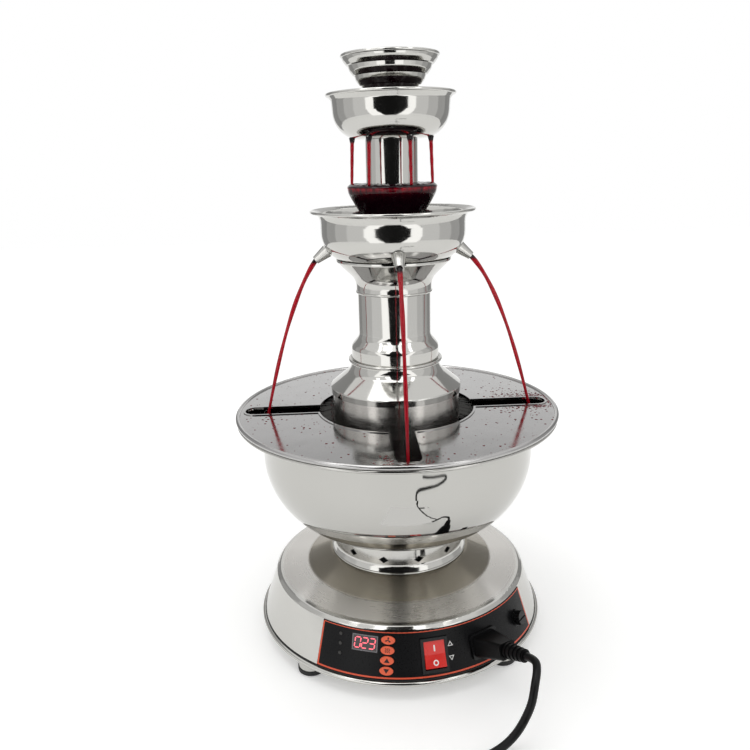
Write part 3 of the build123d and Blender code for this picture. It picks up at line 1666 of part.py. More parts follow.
gap_steps = 90
coil_points = [coil_place(step / gap_steps) for step in range(int(coil_total_turns * gap_steps) + 1)]
coil_gap = min(
    (coil_points[i] - coil_points[j]).length - 2 * cord_radius
    for i in range(len(coil_points))
    for j in range(i + gap_steps // 3, len(coil_points))
)
print("least gap between turns", round(coil_gap, 2))
print("whole lead", round(cord_run_length + coil_length, 1))

# Strap around the bundle of turns
strap_turn = degrees(coil_start_angle) + 360 * tie_strap_share
strap_passes = [coil_place(turn + tie_strap_share) for turn in range(int(coil_total_turns))]
pass_radii = [(place - Vector(coil_centre[0], coil_centre[1], place.Z)).length for place in strap_passes]
pass_heights = [place.Z for place in strap_passes]
bundle_inner = min(pass_radii) - cord_radius
bundle_outer = max(pass_radii) + cord_radius
bundle_low = min(pass_heights) - cord_radius
bundle_high = max(pass_heights) + cord_radius
strap_plane = Plane(
    origin=(coil_centre[0], coil_centre[1], 0),
    x_dir=(cos(radians(strap_turn)), sin(radians(strap_turn)), 0),
    z_dir=(sin(radians(strap_turn)), -cos(radians(strap_turn)), 0),
)
strap_middle = ((bundle_inner + bundle_outer) / 2, (bundle_low + bundle_high) / 2)
strap_width = bundle_outer - bundle_inner + 2 * tie_strap_gap
strap_height = bundle_high - bundle_low + 2 * tie_strap_gap
with BuildPart() as cord_tie:
    with BuildSketch(strap_plane):
        with Locations(strap_middle):
            RectangleRounded(
                strap_width + 2 * tie_strap_sheet, strap_height + 2 * tie_strap_sheet, cord_radius
            )
            RectangleRounded(strap_width, strap_height, cord_radius - tie_strap_sheet, mode=Mode.SUBTRACT)
    extrude(amount=tie_strap_width / 2, both=True)
cord_tie.part.label = "cord_tie"
export_step(cord_tie.part, "parts/cord_tie.step")

# Mains plug with three round pins at the end of the coil
plug_plane = Plane(origin=coil_out, z_dir=coil_end_heading)
with BuildPart() as cord_plug:
    with Locations(plug_plane.location):
        Cone(
            cord_radius + relief_rib_height,
            plug_body_radius / 2 + cord_radius / 2,
            plug_neck_length,
            align=(Align.CENTER, Align.CENTER, Align.MIN),
        )
    with BuildSketch(plug_plane.offset(plug_neck_length)):
        Circle(plug_body_radius)
    extrude(amount=plug_body_length)
    fillet(cord_plug.edges().filter_by(GeomType.CIRCLE).group_by(SortBy.RADIUS)[-1], cord_radius / 2)
    with BuildSketch(plug_plane.offset(plug_neck_length + plug_body_length)):
        with PolarLocations(plug_pin_spread / 2 + plug_pin_radius, 3):
            Circle(plug_pin_radius)
    extrude(amount=plug_pin_length)
cord_plug.part.label = "cord_plug"
export_step(cord_plug.part, "parts/cord_plug.step")
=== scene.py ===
"""Looks of a drinks fountain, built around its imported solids.

Each operator dresses one group of pieces. Run as a script, main() calls them in order.
"""

import math

import bmesh
import bpy
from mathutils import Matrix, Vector
from mathutils.bvhtree import BVHTree


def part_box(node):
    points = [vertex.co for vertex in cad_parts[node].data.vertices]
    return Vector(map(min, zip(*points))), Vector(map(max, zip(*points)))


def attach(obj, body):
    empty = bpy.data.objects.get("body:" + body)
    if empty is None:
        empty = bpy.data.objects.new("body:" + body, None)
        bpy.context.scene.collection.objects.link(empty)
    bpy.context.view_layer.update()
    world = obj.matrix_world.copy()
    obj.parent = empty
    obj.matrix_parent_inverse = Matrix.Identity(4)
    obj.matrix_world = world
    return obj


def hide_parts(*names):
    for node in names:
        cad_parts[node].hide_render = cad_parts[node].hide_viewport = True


bl_info = {
    "name": "Drinks Fountain Looks",
    "version": (1, 0, 0),
    "blender": (4, 5, 0),
    "location": "View3D > Sidebar > Fountain",
    "description": "Dresses the solids of a drinks fountain: steel, panel, drink, cord and studio",
    "category": "Object",
}

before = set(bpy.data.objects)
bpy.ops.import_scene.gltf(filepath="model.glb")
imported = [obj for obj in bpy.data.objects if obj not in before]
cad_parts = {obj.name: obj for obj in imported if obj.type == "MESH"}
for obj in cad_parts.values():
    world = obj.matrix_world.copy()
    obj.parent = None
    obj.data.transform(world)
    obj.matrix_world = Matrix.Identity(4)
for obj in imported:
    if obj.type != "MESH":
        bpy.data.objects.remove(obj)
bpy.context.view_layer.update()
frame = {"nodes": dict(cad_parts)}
MM = 0.001

# Places of the solids, as the part's source has them: millimetres, and degrees from the front
SKIRT_LOW = 20.4
SKIRT_HEIGHT = 41.5
SKIRT_RADIUS = 143.6
SKIRT_TAPER = 14.0
SKIRT_LEAN = math.atan2(SKIRT_TAPER, SKIRT_HEIGHT)
PANEL_MIDDLE = 42.65
OVERLAY_LEFT = -37.0
OVERLAY_RIGHT = 59.8
OVERLAY_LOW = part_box("panel_overlay")[0].z / MM
OVERLAY_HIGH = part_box("panel_overlay")[1].z / MM
BOARD_AZIMUTH = -18.0
WINDOW_RISE = 7.5
KEY_OFFSET = 21.4
KEY_RISES = {"motor": 12.6, "heat": 3.4, "up": -5.8, "down": -15.0}
ROCKER_AZIMUTH = 8.9
ROCKER_RISE = -3.2
SPOUT_TIP = (74.1, 382.3)
NOZZLE_COUNT = 6
NOZZLE_CIRCLE = 36.0
NOZZLE_AZIMUTH = 23.0
NOZZLE_TIP_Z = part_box("drip_nozzles")[0].z / MM
CUP_RIM_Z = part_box("drip_cup")[1].z / MM
PLATE_TOP = 233.35
SLOT_HALF = 11.25
SLOT_END = 151.0

# The cord's route and coil as the part's source has them, in millimetres and turns. The coil's start is
# in degrees from the right
CORD_ROUTE = (
    (96.81, -167.67, 56.9),
    (102.83, -178.09, 60.96),
    (100.8, -190.6, 60.1),
    (96.3, -200.8, 52.7),
    (93.1, -206.5, 40.7),
    (87.4, -208.4, 27.3),
    (79.9, -210.0, 14.2),
    (67.6, -214.9, 5.7),
    (50.5, -223.5, 4.6),
)
COIL_CENTRE = (14.0, -292.0)
COIL_LIFT = 1.7
COIL_DOWN = 3.0
COIL_UP = 2.5
COIL_TURNS = COIL_DOWN + COIL_UP
COIL_CLIMB = 0.5
COIL_START = 110.0
COIL_LEAD = 20.0
COIL_TAIL_TURNS = 0.5
COIL_TAIL_SWING = 16.0
COIL_TAIL_RUN = 7.5

# Values between which one noise texture keeps mostly, and the sum of two
NOISE_LOW = 0.3
NOISE_HIGH = 0.7
TWO_NOISES_LOW = 0.7
TWO_NOISES_HIGH = 1.3

# Steel: radii of the brushed zones in millimetres, whose colours are a paler painted sheen and, in the well,
# a darker painted shade; how strongly brushing stretches a reflection, and the quarter turn that sets the
# stretch across the grain
BRUSHED_TO = 121.0
WELL_TO = 94.5
BRUSH_FADE = 3.0
BRUSH_PULL = 0.96
ACROSS_GRAIN = 0.25
# Turning lines: how far out of round they drift, in line spacings, and their depth in millimetres where
# the roughness spreads by 1
LINE_DRIFT = 6.0
LINE_DEPTH = 0.12

# Plastic, ink and paper: how far a grain spreads the roughness, cloudiness in grains, grains in millimetres
GRAIN_SPREAD = 0.05
CLOUD_GRAINS = 25.0
CLEAR_PLASTIC_IOR = 1.58
INK_GRAIN = 0.6667
PAPER_GRAIN = 3.3333

# Drink: ripples and runs in millimetres
DRINK_IOR = 1.34
RIPPLE = 5.5556
RIPPLE_DEPTH = 0.4
RUN_WIDTH = 4.1667
RUN_STRETCH = (1.0, 1.0, 0.3)
RUN_DEPTH = 0.6
# Height within the running skin, from its foot to its top, and how thin the drink is there
THIN_BAND = ((0.0, 0.0), (0.4, 0.03), (0.62, 0.15), (0.82, 0.75), (0.9, 0.2), (0.95, 0.0))

# Printed marks, in millimetres on the panel
INK_LIFT = 0.05
PRINT_START = 12.0
PRINT_EDGE = 1.2
BORDER_START = 6.0
BORDER_STEPS = 120
BORDER_RISES = 24
FILM_FRONT = 0.85
MARK_AZIMUTH = 15.5
MARK_RISES = (4.1, -8.6)
MARK = ([(-2.7, -2.0), (2.7, -2.0), (0.0, 2.6)], [(-1.5, -1.3), (1.5, -1.3), (0.0, 1.3)])
WINDOW_EDGES = ((11.9, 7.2), (11.2, 6.5))
DIGIT_LIFT = 0.06
# Shares of a digit's height
DIGIT_WIDTH = 0.56
DIGIT_BAR = 0.11
DIGIT_SLANT = 0.12
DIGIT_STEP = 0.72
# Gap at the end of a bar: a length, and a share of the bar's width
BAR_GAP = 0.2
BAR_GAP_SHARE = 0.18
LIT_BARS = ("abcdef", "bc", "abged", "abgcd", "fgbc", "afgcd", "afgedc", "abc", "abcdefg", "abcdfg")
SYMBOL_EDGE = 0.8
FAN_BLADE = ((0.5, -0.35), (1.5, -0.9), (2.5, -0.75), (2.75, 0.0), (2.3, 0.55), (1.3, 0.4), (0.5, 0.35))
FAN_HUB = 1.1
FLAME_COLUMNS = (-1.6, 0.0, 1.6)
FLAME_HALF_HEIGHT = 2.2
FLAME_HALF_WIDTH = 0.32
FLAME_BEND = 0.42
FLAME_WAVE = 2.4
FLAME_STEPS = 12
UP_ARROW = ((-2.6, -1.8), (2.6, -1.8), (0.0, 2.3))
DOWN_ARROW = ((-2.6, 1.8), (0.0, -2.3), (2.6, 1.8))
ON_BAR = (-0.65, 3.6, 0.65, 9.0)
OFF_RINGS = (5.0, 3.0)
OFF_MIDDLE = -6.2

# Drink, in millimetres: azimuth, first slope and bend of each stream that leaves a spout
STREAM_FALLS = ((0, 1.1, 0.026), (90, 1.0, 0.0243), (180, 1.1, 0.026), (-90, 1.305, 0.0275))
STREAM_END = 225.0
STREAM_STEPS = 64
STREAM_ROOT_STEP = 0.6
STREAM_TAPER = 0.28
STREAM_DARK = (4.5, 1.5)
DRIP_STEPS = 44
DRIP_ROOT = 2.2
DRIP_GAP = 2.0
DRIP_SPREAD = 1.6
DRIP_DARK = (3.2, 1.0)
BULB_LENGTH = 5.0
BULB_POWER = 0.7
# Shares of a drip's width: at its root, what it loses on its way, and what the bulb adds
DRIP_START = 1.08
DRIP_TAPER = 0.26
BULB_EXTRA = 0.72
# Name, body, bowl, inner radius, and a radius inside the bowl from which its wall is sought
POOLS = (
    ("lower_pool", "base", "lower_bowl", 62.9, 90.0),
    ("middle_pool", "mid_tier", "mid_bowl", 13.4, 50.0),
    ("upper_pool", "upper_tier", "upper_bowl", 22.4, 30.0),
)
POOL_ROWS = 14
POOL_STEPS = 120
POOL_GAP = 0.4
POOL_CALM = 6.0
POOL_WAVE = 0.5
# Radius and height over the rim of the drink that stands in the drip cup
BRIM = (
    (24.5, 2.2),
    (28.0, 2.4),
    (31.0, 2.5),
    (34.5, 2.6),
    (38.0, 2.4),
    (39.8, 1.8),
    (41.4, 0.8),
    (42.1, -0.5),
)
BRIM_FLAT = 7
BRIM_STEPS = 168
BRIM_REACH = 60.0
RUN_ROWS = 14
RUN_START = 1.6
RUN_STEP = 1.9
RUN_SKIN = 1.0
RUN_SWELL = 0.7
RUN_TOE = (2.5, 0.8)
RUN_BAND = (12.0, 1.0)
# Rings round each place where a drip lands, and the radius at which they have faded
RING_HEIGHT = 1.3
RING_BEND = 0.9
RING_REACH = 7.0
RING_END = 41.0
RING_FADE = 2.0
# Azimuth, radius, specks to a square metre and spread of each splash on the plate
SPLASHES = (
    (90, 144, 2600000, 14),
    (92, 124, 300000, 24),
    (0, 154, 1800000, 14),
    (-90, 130, 90000, 18),
    (180, 135, 120000, 16),
)
SPLASH_BETWEEN = 8000.0
SPLASH_RADII = (82.0, 155.5)
SPLASH_ROWS = 30
SPLASH_STEPS = 360
SPLASH_MARGIN = 2.5
# Specks: height as a share of width, how rare the large ones are, and the least share of the largest
SPECK_FLATNESS = 0.3
SPECK_RARITY = 2.2
SPECK_LEAST = 0.25

# Painted reflections for the lower bowl to mirror, in millimetres: cards at floor brightness painted over
# the coil's reflection, and one dark winding line that paints the cord's reflection on the table in front
PAINTED_FLOOR_COVERS = (((-60.0, -378.0), (74.0, -202.0)), ((74.0, -378.0), (100.0, -290.0)))
PAINTED_FLOOR_HEIGHT = 22.0
PAINTED_FLOOR_LEVEL = 1.1
CORD_REFLECTION_HEIGHT = 24.0
CORD_REFLECTION_WIDTH = 9.0
CORD_REFLECTION_LEVEL = 0.02
CORD_REFLECTION_NEAR = 430.0
CORD_REFLECTION_LINE = (
    (132, -550),
    (221, -517),
    (279, -488),
    (287, -470),
    (234, -478),
    (156, -500),
    (92, -513),
    (74, -500),
    (72, -450),
    (62, -405),
    (58, -355),
    (64, -290),
    (76, -243),
    (90, -215),
)

# Screens that only mirrors see: name, azimuth of the middle from the camera's, azimuths of the two ends
# from that at the foot and at the top, then radius, foot and top in metres, and brightness
FRONT_SCREENS = (
    ("front_gap", 0, (-11, 11), (-40, 40), 0.95, 0.0, 0.63, 0.01),
    ("front_canopy", 0, (-15, 15), (-15, 15), 0.95, 0.63, 2.6, 0.02),
)
BACK_SCREENS = (
    ("back_cloth", 180, (-20, 20), (-20, 20), 1.4, 0.58, 0.68, 0.94),
    ("back_cloth", 180, (-20, 20), (-20, 20), 1.4, 0.68, 0.8, 0.8),
    ("back_cloth", 180, (-20, 20), (-20, 20), 1.4, 0.8, 1.3, 0.64),
    ("back_cloth", 180, (-20, 20), (-20, 20), 1.4, 1.3, 2.6, 0.4),
)
SIDE_SCREENS = (
    ("side_curtain", 0, (40, 75), (56, 75), 1.3, 0.0, 1.2, 0.9),
    ("side_curtain", 0, (75, 100), (75, 100), 1.3, 0.0, 1.2, 0.72),
    ("side_curtain", 0, (100, 125), (100, 125), 1.3, 0.0, 1.2, 0.52),
    ("side_curtain", 0, (125, 152), (125, 152), 1.3, 0.0, 1.2, 0.36),
)
SCREEN_STEPS = 16
FLOOR_HALF = 4.0
CEILING_PLACE = (-0.25, -0.2, 1.5)
CEILING_AIM = (0.0, 0.0, 0.25)
CEILING_SIZE = (0.9, 0.7)
CEILING_POWER = 3.0
WHITE = (1.0, 1.0, 1.0, 1.0)


def linear(text):
    """Turns an sRGB hex value into the linear colour that a socket takes."""
    shades = [int(text[i : i + 2], 16) / 255 for i in (1, 3, 5)]
    return tuple(s / 12.92 if s <= 0.04045 else ((s + 0.055) / 1.055) ** 2.4 for s in shades) + (1.0,)


def shaded(tint, share):
    """A colour at a share of its brightness."""
    return tuple(c * share for c in tint[:3]) + (1.0,)


def colour(label, text, note):
    """A colour setting with its default."""
    return bpy.props.FloatVectorProperty(
        name=label, description=note, subtype="COLOR", size=4, min=0.0, max=1.0, default=linear(text)
    )


def length(label, value, note):
    """A length setting in metres, with its default given in millimetres."""
    return bpy.props.FloatProperty(
        name=label,
        description=note,
        subtype="DISTANCE",
        unit="LENGTH",
        min=0.0,
        precision=5,
        default=value * MM,
    )


def number(label, value, note, **limits):
    """A plain number setting, nought or more, with its default."""
    return bpy.props.FloatProperty(name=label, description=note, min=0.0, default=value, **limits)


class FountainSteel(bpy.types.PropertyGroup):
    tint: colour("Steel", "#C2C1BD", "Colour of polished stainless steel")
    # Brushed colour: paler than the polished steel, a painted sheen
    brushed_painted_sheen: colour("Brushed Steel", "#DDDAD5", "Colour of brushed stainless steel")
    # Well colour: darker brown, painted shade under the lower bowl
    well_painted_shade: colour("Well", "#958F83", "Colour of the brushed steel round the collar")
    plate_tint: colour("Plate", "#B2B1B0", "Colour of the wiped splash plate")
    plain_tint: colour("Zinc", "#B4B7BA", "Colour of zinc-plated fasteners")
    mirror: number("Mirror Roughness", 0.09, "Roughness of the polished sheets", max=1.0)
    satin: number("Satin Roughness", 0.2, "Roughness of the brushed sheets", max=1.0)
    line: length("Turning Line", 0.9, "Spacing of the spinning lines, drawn coarser than the real 0.2 mm")
    wave: length("Wave", 26.0, "Distance between the soft waves of a spun sheet")


class FountainPanel(bpy.types.PropertyGroup):
    film: colour("Film", "#08080A", "Colour of the printed panel film")
    border: colour("Border", "#E0512B", "Colour of the border line")
    ink: colour("White Ink", "#E9E9E6", "Colour of the white symbols")
    key: colour("Keys", "#E85E35", "Colour of the oval keys")
    key_ink: colour("Key Ink", "#2A0B08", "Colour of the symbols on the keys")
    lit: colour("Display", "#FF6A78", "Colour of the lit digits")
    frame: colour("Display Edge", "#77777B", "Colour of the edge round the display")
    rocker: colour("Rocker", "#C8140A", "Colour of the lit rocker")
    border_width: length("Border Width", 1.5, "Width of the border line")
    border_inset: length("Border Inset", 0.25, "Distance of the border line from the film's edge")
    digit_height: length("Digit Height", 9.4, "Height of the display's digits")
    reading: bpy.props.IntProperty(
        name="Reading", description="Number that the display shows", min=0, max=999, default=23
    )


class FountainDrink(bpy.types.PropertyGroup):
    thin: colour("Thin Drink", "#CC142A", "Colour of the drink in a thin stream")
    deep: colour("Deep Drink", "#16020A", "Colour of the drink where it is deep")
    stream: length("Stream", 4.4, "Width of a stream below its spout")
    drip: length("Drip", 3.3, "Width of a stream from a nozzle")
    lower_level: length("Lower Level", 194.0, "Height of the drink in the lower bowl")
    mid_level: length("Middle Level", 397.0, "Height of the drink in the middle bowl")
    upper_level: length("Upper Level", 526.0, "Height of the drink in the upper bowl")
    speck: length("Speck", 1.3, "Largest radius of a speck on the splash plate")
    seed: bpy.props.IntProperty(name="Seed", description="Seed of the specks", default=7)


class FountainCord(bpy.types.PropertyGroup):
    sheath: colour("Sheath", "#060607", "Colour of the cord's sheath")
    diameter: length("Diameter", 7.0, "Diameter of the cord")
    whole: length("Length", 1575.0, "Whole length of the cord")
    coil_radius: length("Coil Radius", 29.0, "Radius of the innermost turn")
    pitch: length("Pitch", 7.8, "Distance between turns side by side")
    layer: length("Layer", 7.7, "Distance between turns one above another")
    points: bpy.props.IntProperty(
        name="Points per Turn", description="Control points in each turn", min=12, max=40, default=20
    )


class FountainStage(bpy.types.PropertyGroup):
    place: bpy.props.FloatVectorProperty(
        name="Camera Place",
        description="Where the camera stands",
        subtype="TRANSLATION",
        unit="LENGTH",
        default=(-0.05036, -0.72024, 0.47291),
    )
    turn: bpy.props.FloatVectorProperty(
        name="Camera Turn",
        description="How the camera is turned",
        subtype="EULER",
        default=(math.radians(74.0349), math.radians(1.4276), math.radians(-2.7781)),
    )
    lens: bpy.props.FloatProperty(
        name="Lens", description="Focal length on a 36 mm sensor, in millimetres", min=1.0, default=36.13
    )
    floor: colour("Floor", "#F8F8F7", "Colour of the floor")
    floor_lift: number("Floor Lift", 0.24, "Brightness added to the floor where it is seen")
    air: number("Air", 0.85, "Strength of the even studio light")
    strip: number("Strip Lights", 1.7, "Brightness of the two tall strip lights")
    high_strip: number("High Strips", 2.6, "Brightness of the strips above the tall ones")
    box: number("High Boxes", 3.0, "Brightness of the high side and back lights")


GROUPS = (
    ("fountain_steel", FountainSteel),
    ("fountain_panel", FountainPanel),
    ("fountain_drink", FountainDrink),
    ("fountain_cord", FountainCord),
    ("fountain_stage", FountainStage),
)


def around(radius, azimuth, height):
    """A point in metres from a radius, an azimuth from the front and a height in millimetres."""
    turn = math.radians(azimuth)
    return Vector((radius * math.sin(turn), -radius * math.cos(turn), height)) * MM


def skirt_radius(height):
    """Outer radius of the leaning skirt at a height, in millimetres."""
    return SKIRT_RADIUS - SKIRT_TAPER * (height - SKIRT_LOW) / SKIRT_HEIGHT


def on_panel(azimuth, rise=0.0):
    """A point on the leaning skirt, and the directions right, up the skirt and outwards."""
    turn = math.radians(azimuth)
    right = Vector((math.cos(turn), math.sin(turn), 0))
    out = around(math.cos(SKIRT_LEAN), azimuth, math.sin(SKIRT_LEAN)) / MM
    up = out.cross(right)
    middle = around(skirt_radius(PANEL_MIDDLE), azimuth, PANEL_MIDDLE)
    return middle + up * rise * MM, right, up, out


def solid_tree(name):
    """Search tree of a solid, to find the nearest point where a line meets it."""
    return BVHTree.FromObject(frame["nodes"][name], bpy.context.evaluated_depsgraph_get())


def put(name, mesh, body, material=None):
    """Makes an object of a finished mesh and lets it ride on a body."""
    if material is not None:
        mesh.materials.clear()
        mesh.materials.append(material)
    piece = bpy.data.objects.new(name, mesh)
    bpy.context.scene.collection.objects.link(piece)
    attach(piece, body)
    return piece


def from_bmesh(name, build):
    """Turns a bmesh into a smooth mesh."""
    mesh = bpy.data.meshes.new(name)
    build.to_mesh(mesh)
    build.free()
    mesh.shade_smooth()
    return mesh


def join_rows(build, rows, closed=False):
    """Joins each row of points to the next with faces, and the last to the first where they go round."""
    pairs = list(zip(rows, rows[1:]))
    if closed:
        pairs.append((rows[-1], rows[0]))
    for near, far in pairs:
        for k in range(len(near) - 1):
            build.faces.new((near[k], far[k], far[k + 1], near[k + 1]))


def turn_faces(build, way):
    """Turns all faces to one side, towards a direction."""
    bmesh.ops.recalc_face_normals(build, faces=build.faces[:])
    if sum(face.normal.dot(way) for face in build.faces) < 0:
        bmesh.ops.reverse_faces(build, faces=build.faces[:])


def dress(material, *names):
    """Gives solids a finish."""
    for name in names:
        solid = frame["nodes"][name]
        if not solid.material_slots:
            solid.data.materials.append(material)
        for slot in solid.material_slots:
            slot.material = material


def add(tree, kind, inputs=None, **settings):
    """Adds a node, with its settings and with its sockets set or linked."""
    node = tree.nodes.new(kind)
    for key, value in settings.items():
        setattr(node, key, value)
    for key, value in (inputs or {}).items():
        if isinstance(value, bpy.types.NodeSocket):
            tree.links.new(value, node.inputs[key])
        else:
            node.inputs[key].default_value = value
    return node


def blank(name):
    """A new material and its empty tree."""
    material = bpy.data.materials.new(name)
    material.use_nodes = True
    material.node_tree.nodes.clear()
    return material, material.node_tree


def spun_steel(name, tint, rough, spread, line, wave, wave_depth, anisotropic=0.0, brushed=()):
    """Spun stainless sheet: lines run round the axis and soft waves bend its mirror.

    The depth of the waves is in millimetres. Each brushed zone is a radius in millimetres that it
    reaches to, a change of roughness and a colour painted over the steel's: a paler painted sheen or a
    darker painted shade.
    """
    material, tree = blank(name)
    place = add(tree, "ShaderNodeTexCoord").outputs["Object"]
    split = add(tree, "ShaderNodeSeparateXYZ", {0: place}).outputs
    level = add(tree, "ShaderNodeCombineXYZ", {0: split[0], 1: split[1]}).outputs[0]
    radius = add(tree, "ShaderNodeVectorMath", {0: level}, operation="LENGTH").outputs["Value"]
    side = add(tree, "ShaderNodeVectorMath", {0: level}, operation="NORMALIZE").outputs[0]
    sway = add(tree, "ShaderNodeSeparateXYZ", {0: side}).outputs[0]
    drift = add(tree, "ShaderNodeMath", {0: sway, 1: LINE_DRIFT * line}, operation="MULTIPLY").outputs[0]
    turned = add(tree, "ShaderNodeCombineXYZ", {0: radius, 1: split[2], 2: drift}).outputs[0]
    lines = add(tree, "ShaderNodeTexNoise", {"Vector": turned, "Scale": 1 / line, "Detail": 3.0}).outputs[0]
    smear = add(tree, "ShaderNodeTexNoise", {"Vector": place, "Scale": 1 / wave, "Detail": 4.0}).outputs[0]
    both = add(tree, "ShaderNodeMath", {0: lines, 1: smear}, operation="ADD").outputs[0]
    known = {"Value": both, "From Min": TWO_NOISES_LOW, "From Max": TWO_NOISES_HIGH}
    wanted = {"To Min": rough - spread, "To Max": rough + spread}
    gloss = add(tree, "ShaderNodeMapRange", {**known, **wanted}).outputs[0]
    skin = tint
    # Each zone's colour is painted over the steel's: a paler painted sheen or a darker painted shade
    for end, extra, painted_zone_tone in brushed:
        reach = {"From Min": end * MM, "From Max": (end + BRUSH_FADE) * MM, "To Min": 1.0, "To Max": 0.0}
        inside = add(tree, "ShaderNodeMapRange", {"Value": radius, **reach}).outputs[0]
        rougher = {0: inside, 1: extra, 2: gloss}
        gloss = add(tree, "ShaderNodeMath", rougher, operation="MULTIPLY_ADD").outputs[0]
        skin = add(tree, "ShaderNodeMix", {0: inside, 6: skin, 7: painted_zone_tone}, data_type="RGBA").outputs[2]
    soft = add(tree, "ShaderNodeTexNoise", {"Vector": place, "Scale": 1 / wave, "Detail": 1.0}).outputs[0]
    swell = {"Strength": 1.0, "Distance": wave_depth * MM, "Height": soft}
    waves = add(tree, "ShaderNodeBump", swell).outputs[0]
    ridge = {"Strength": 0.25, "Distance": spread * LINE_DEPTH * MM, "Height": lines, "Normal": waves}
    ridges = add(tree, "ShaderNodeBump", ridge).outputs[0]
    sockets = {"Base Color": skin, "Metallic": 1.0, "Roughness": gloss, "Normal": ridges}
    if anisotropic:
        grain = add(tree, "ShaderNodeTangent", direction_type="RADIAL", axis="Z")
        sockets["Anisotropic"] = anisotropic
        sockets["Anisotropic Rotation"] = ACROSS_GRAIN
        sockets["Tangent"] = grain.outputs[0]
    shader = add(tree, "ShaderNodeBsdfPrincipled", sockets)
    add(tree, "ShaderNodeOutputMaterial", {"Surface": shader.outputs[0]})
    return material


def moulded(name, tint, rough, grain, depth, metallic=0.0, mottle=0.12, gloss_level=0.5):
    """Moulded plastic, rubber or bare metal: an even colour with a fine grain that scatters its gloss.

    Grain and depth are in millimetres. Most grains are drawn coarser than the real 0.1 to 0.3 mm, so
    that they show.
    """
    material, tree = blank(name)
    place = add(tree, "ShaderNodeTexCoord").outputs["Object"]
    fine = {"Vector": place, "Scale": 1 / (grain * MM), "Detail": 4.0}
    speck = add(tree, "ShaderNodeTexNoise", fine).outputs[0]
    wide = {"Vector": place, "Scale": 1 / (CLOUD_GRAINS * grain * MM), "Detail": 2.0}
    cloud = add(tree, "ShaderNodeTexNoise", wide).outputs[0]
    known = {"Value": speck, "From Min": NOISE_LOW, "From Max": NOISE_HIGH}
    wanted = {"To Min": rough - GRAIN_SPREAD, "To Max": rough + GRAIN_SPREAD}
    gloss = add(tree, "ShaderNodeMapRange", {**known, **wanted}).outputs[0]
    pale = tuple(min(c * (1 + mottle) + 0.004, 1.0) for c in tint[:3]) + (1.0,)
    dark = shaded(tint, 1 - mottle)
    shade = add(tree, "ShaderNodeMix", {0: cloud, 6: dark, 7: pale}, data_type="RGBA")
    relief = add(tree, "ShaderNodeBump", {"Strength": 0.4, "Distance": depth * MM, "Height": speck})
    shader = add(
        tree,
        "ShaderNodeBsdfPrincipled",
        {
            "Base Color": shade.outputs[2],
            "Metallic": metallic,
            "Roughness": gloss,
            "Specular IOR Level": gloss_level,
            "Normal": relief.outputs[0],
        },
    )
    add(tree, "ShaderNodeOutputMaterial", {"Surface": shader.outputs[0]})
    return material


def lit_plastic(name, tint, glow, strength, rough, patch):
    """Coloured clear plastic with a lamp behind it: glossy, and brighter in soft patches.

    The distance between patches is in millimetres.
    """
    material, tree = blank(name)
    place = add(tree, "ShaderNodeTexCoord").outputs["Object"]
    patches = {"Vector": place, "Scale": 1 / (patch * MM), "Detail": 2.0}
    cloud = add(tree, "ShaderNodeTexNoise", patches).outputs[0]
    dim = shaded(glow, 0.55)
    shine = add(tree, "ShaderNodeMix", {0: cloud, 6: dim, 7: glow}, data_type="RGBA")
    known = {"Value": cloud, "From Min": NOISE_LOW, "From Max": NOISE_HIGH}
    gloss = add(tree, "ShaderNodeMapRange", {**known, "To Min": rough, "To Max": rough + 0.08})
    shader = add(
        tree,
        "ShaderNodeBsdfPrincipled",
        {
            "Base Color": tint,
            "Roughness": gloss.outputs[0],
            "IOR": CLEAR_PLASTIC_IOR,
            "Emission Color": shine.outputs[2],
            "Emission Strength": strength,
        },
    )
    add(tree, "ShaderNodeOutputMaterial", {"Surface": shader.outputs[0]})
    return material


def drink(name, tint, through, rough, deep=None, fade=None, gloss_level=0.5):
    """Red drink with a wet gloss: clear where it is thin, nearly black above a height where it gathers."""
    material, tree = blank(name)
    place = add(tree, "ShaderNodeTexCoord").outputs["Object"]
    ripples = {"Vector": place, "Scale": 1 / (RIPPLE * MM), "Detail": 2.0}
    ripple = add(tree, "ShaderNodeTexNoise", ripples).outputs[0]
    dark = shaded(tint, 0.55)
    skin = add(tree, "ShaderNodeMix", {0: ripple, 6: dark, 7: tint}, data_type="RGBA").outputs[2]
    if deep:
        height = add(tree, "ShaderNodeSeparateXYZ", {0: place}).outputs[2]
        ends = {"From Min": fade[0] * MM, "From Max": fade[1] * MM}
        rise = add(tree, "ShaderNodeMapRange", {"Value": height, **ends}).outputs[0]
        skin = add(tree, "ShaderNodeMix", {0: rise, 6: skin, 7: deep}, data_type="RGBA").outputs[2]
    relief = add(tree, "ShaderNodeBump", {"Strength": 0.5, "Distance": RIPPLE_DEPTH * MM, "Height": ripple})
    shader = add(
        tree,
        "ShaderNodeBsdfPrincipled",
        {
            "Base Color": skin,
            "Roughness": rough,
            "IOR": DRINK_IOR,
            "Specular IOR Level": gloss_level,
            "Transmission Weight": through,
            "Normal": relief.outputs[0],
        },
    )
    add(tree, "ShaderNodeOutputMaterial", {"Surface": shader.outputs[0]})
    return material


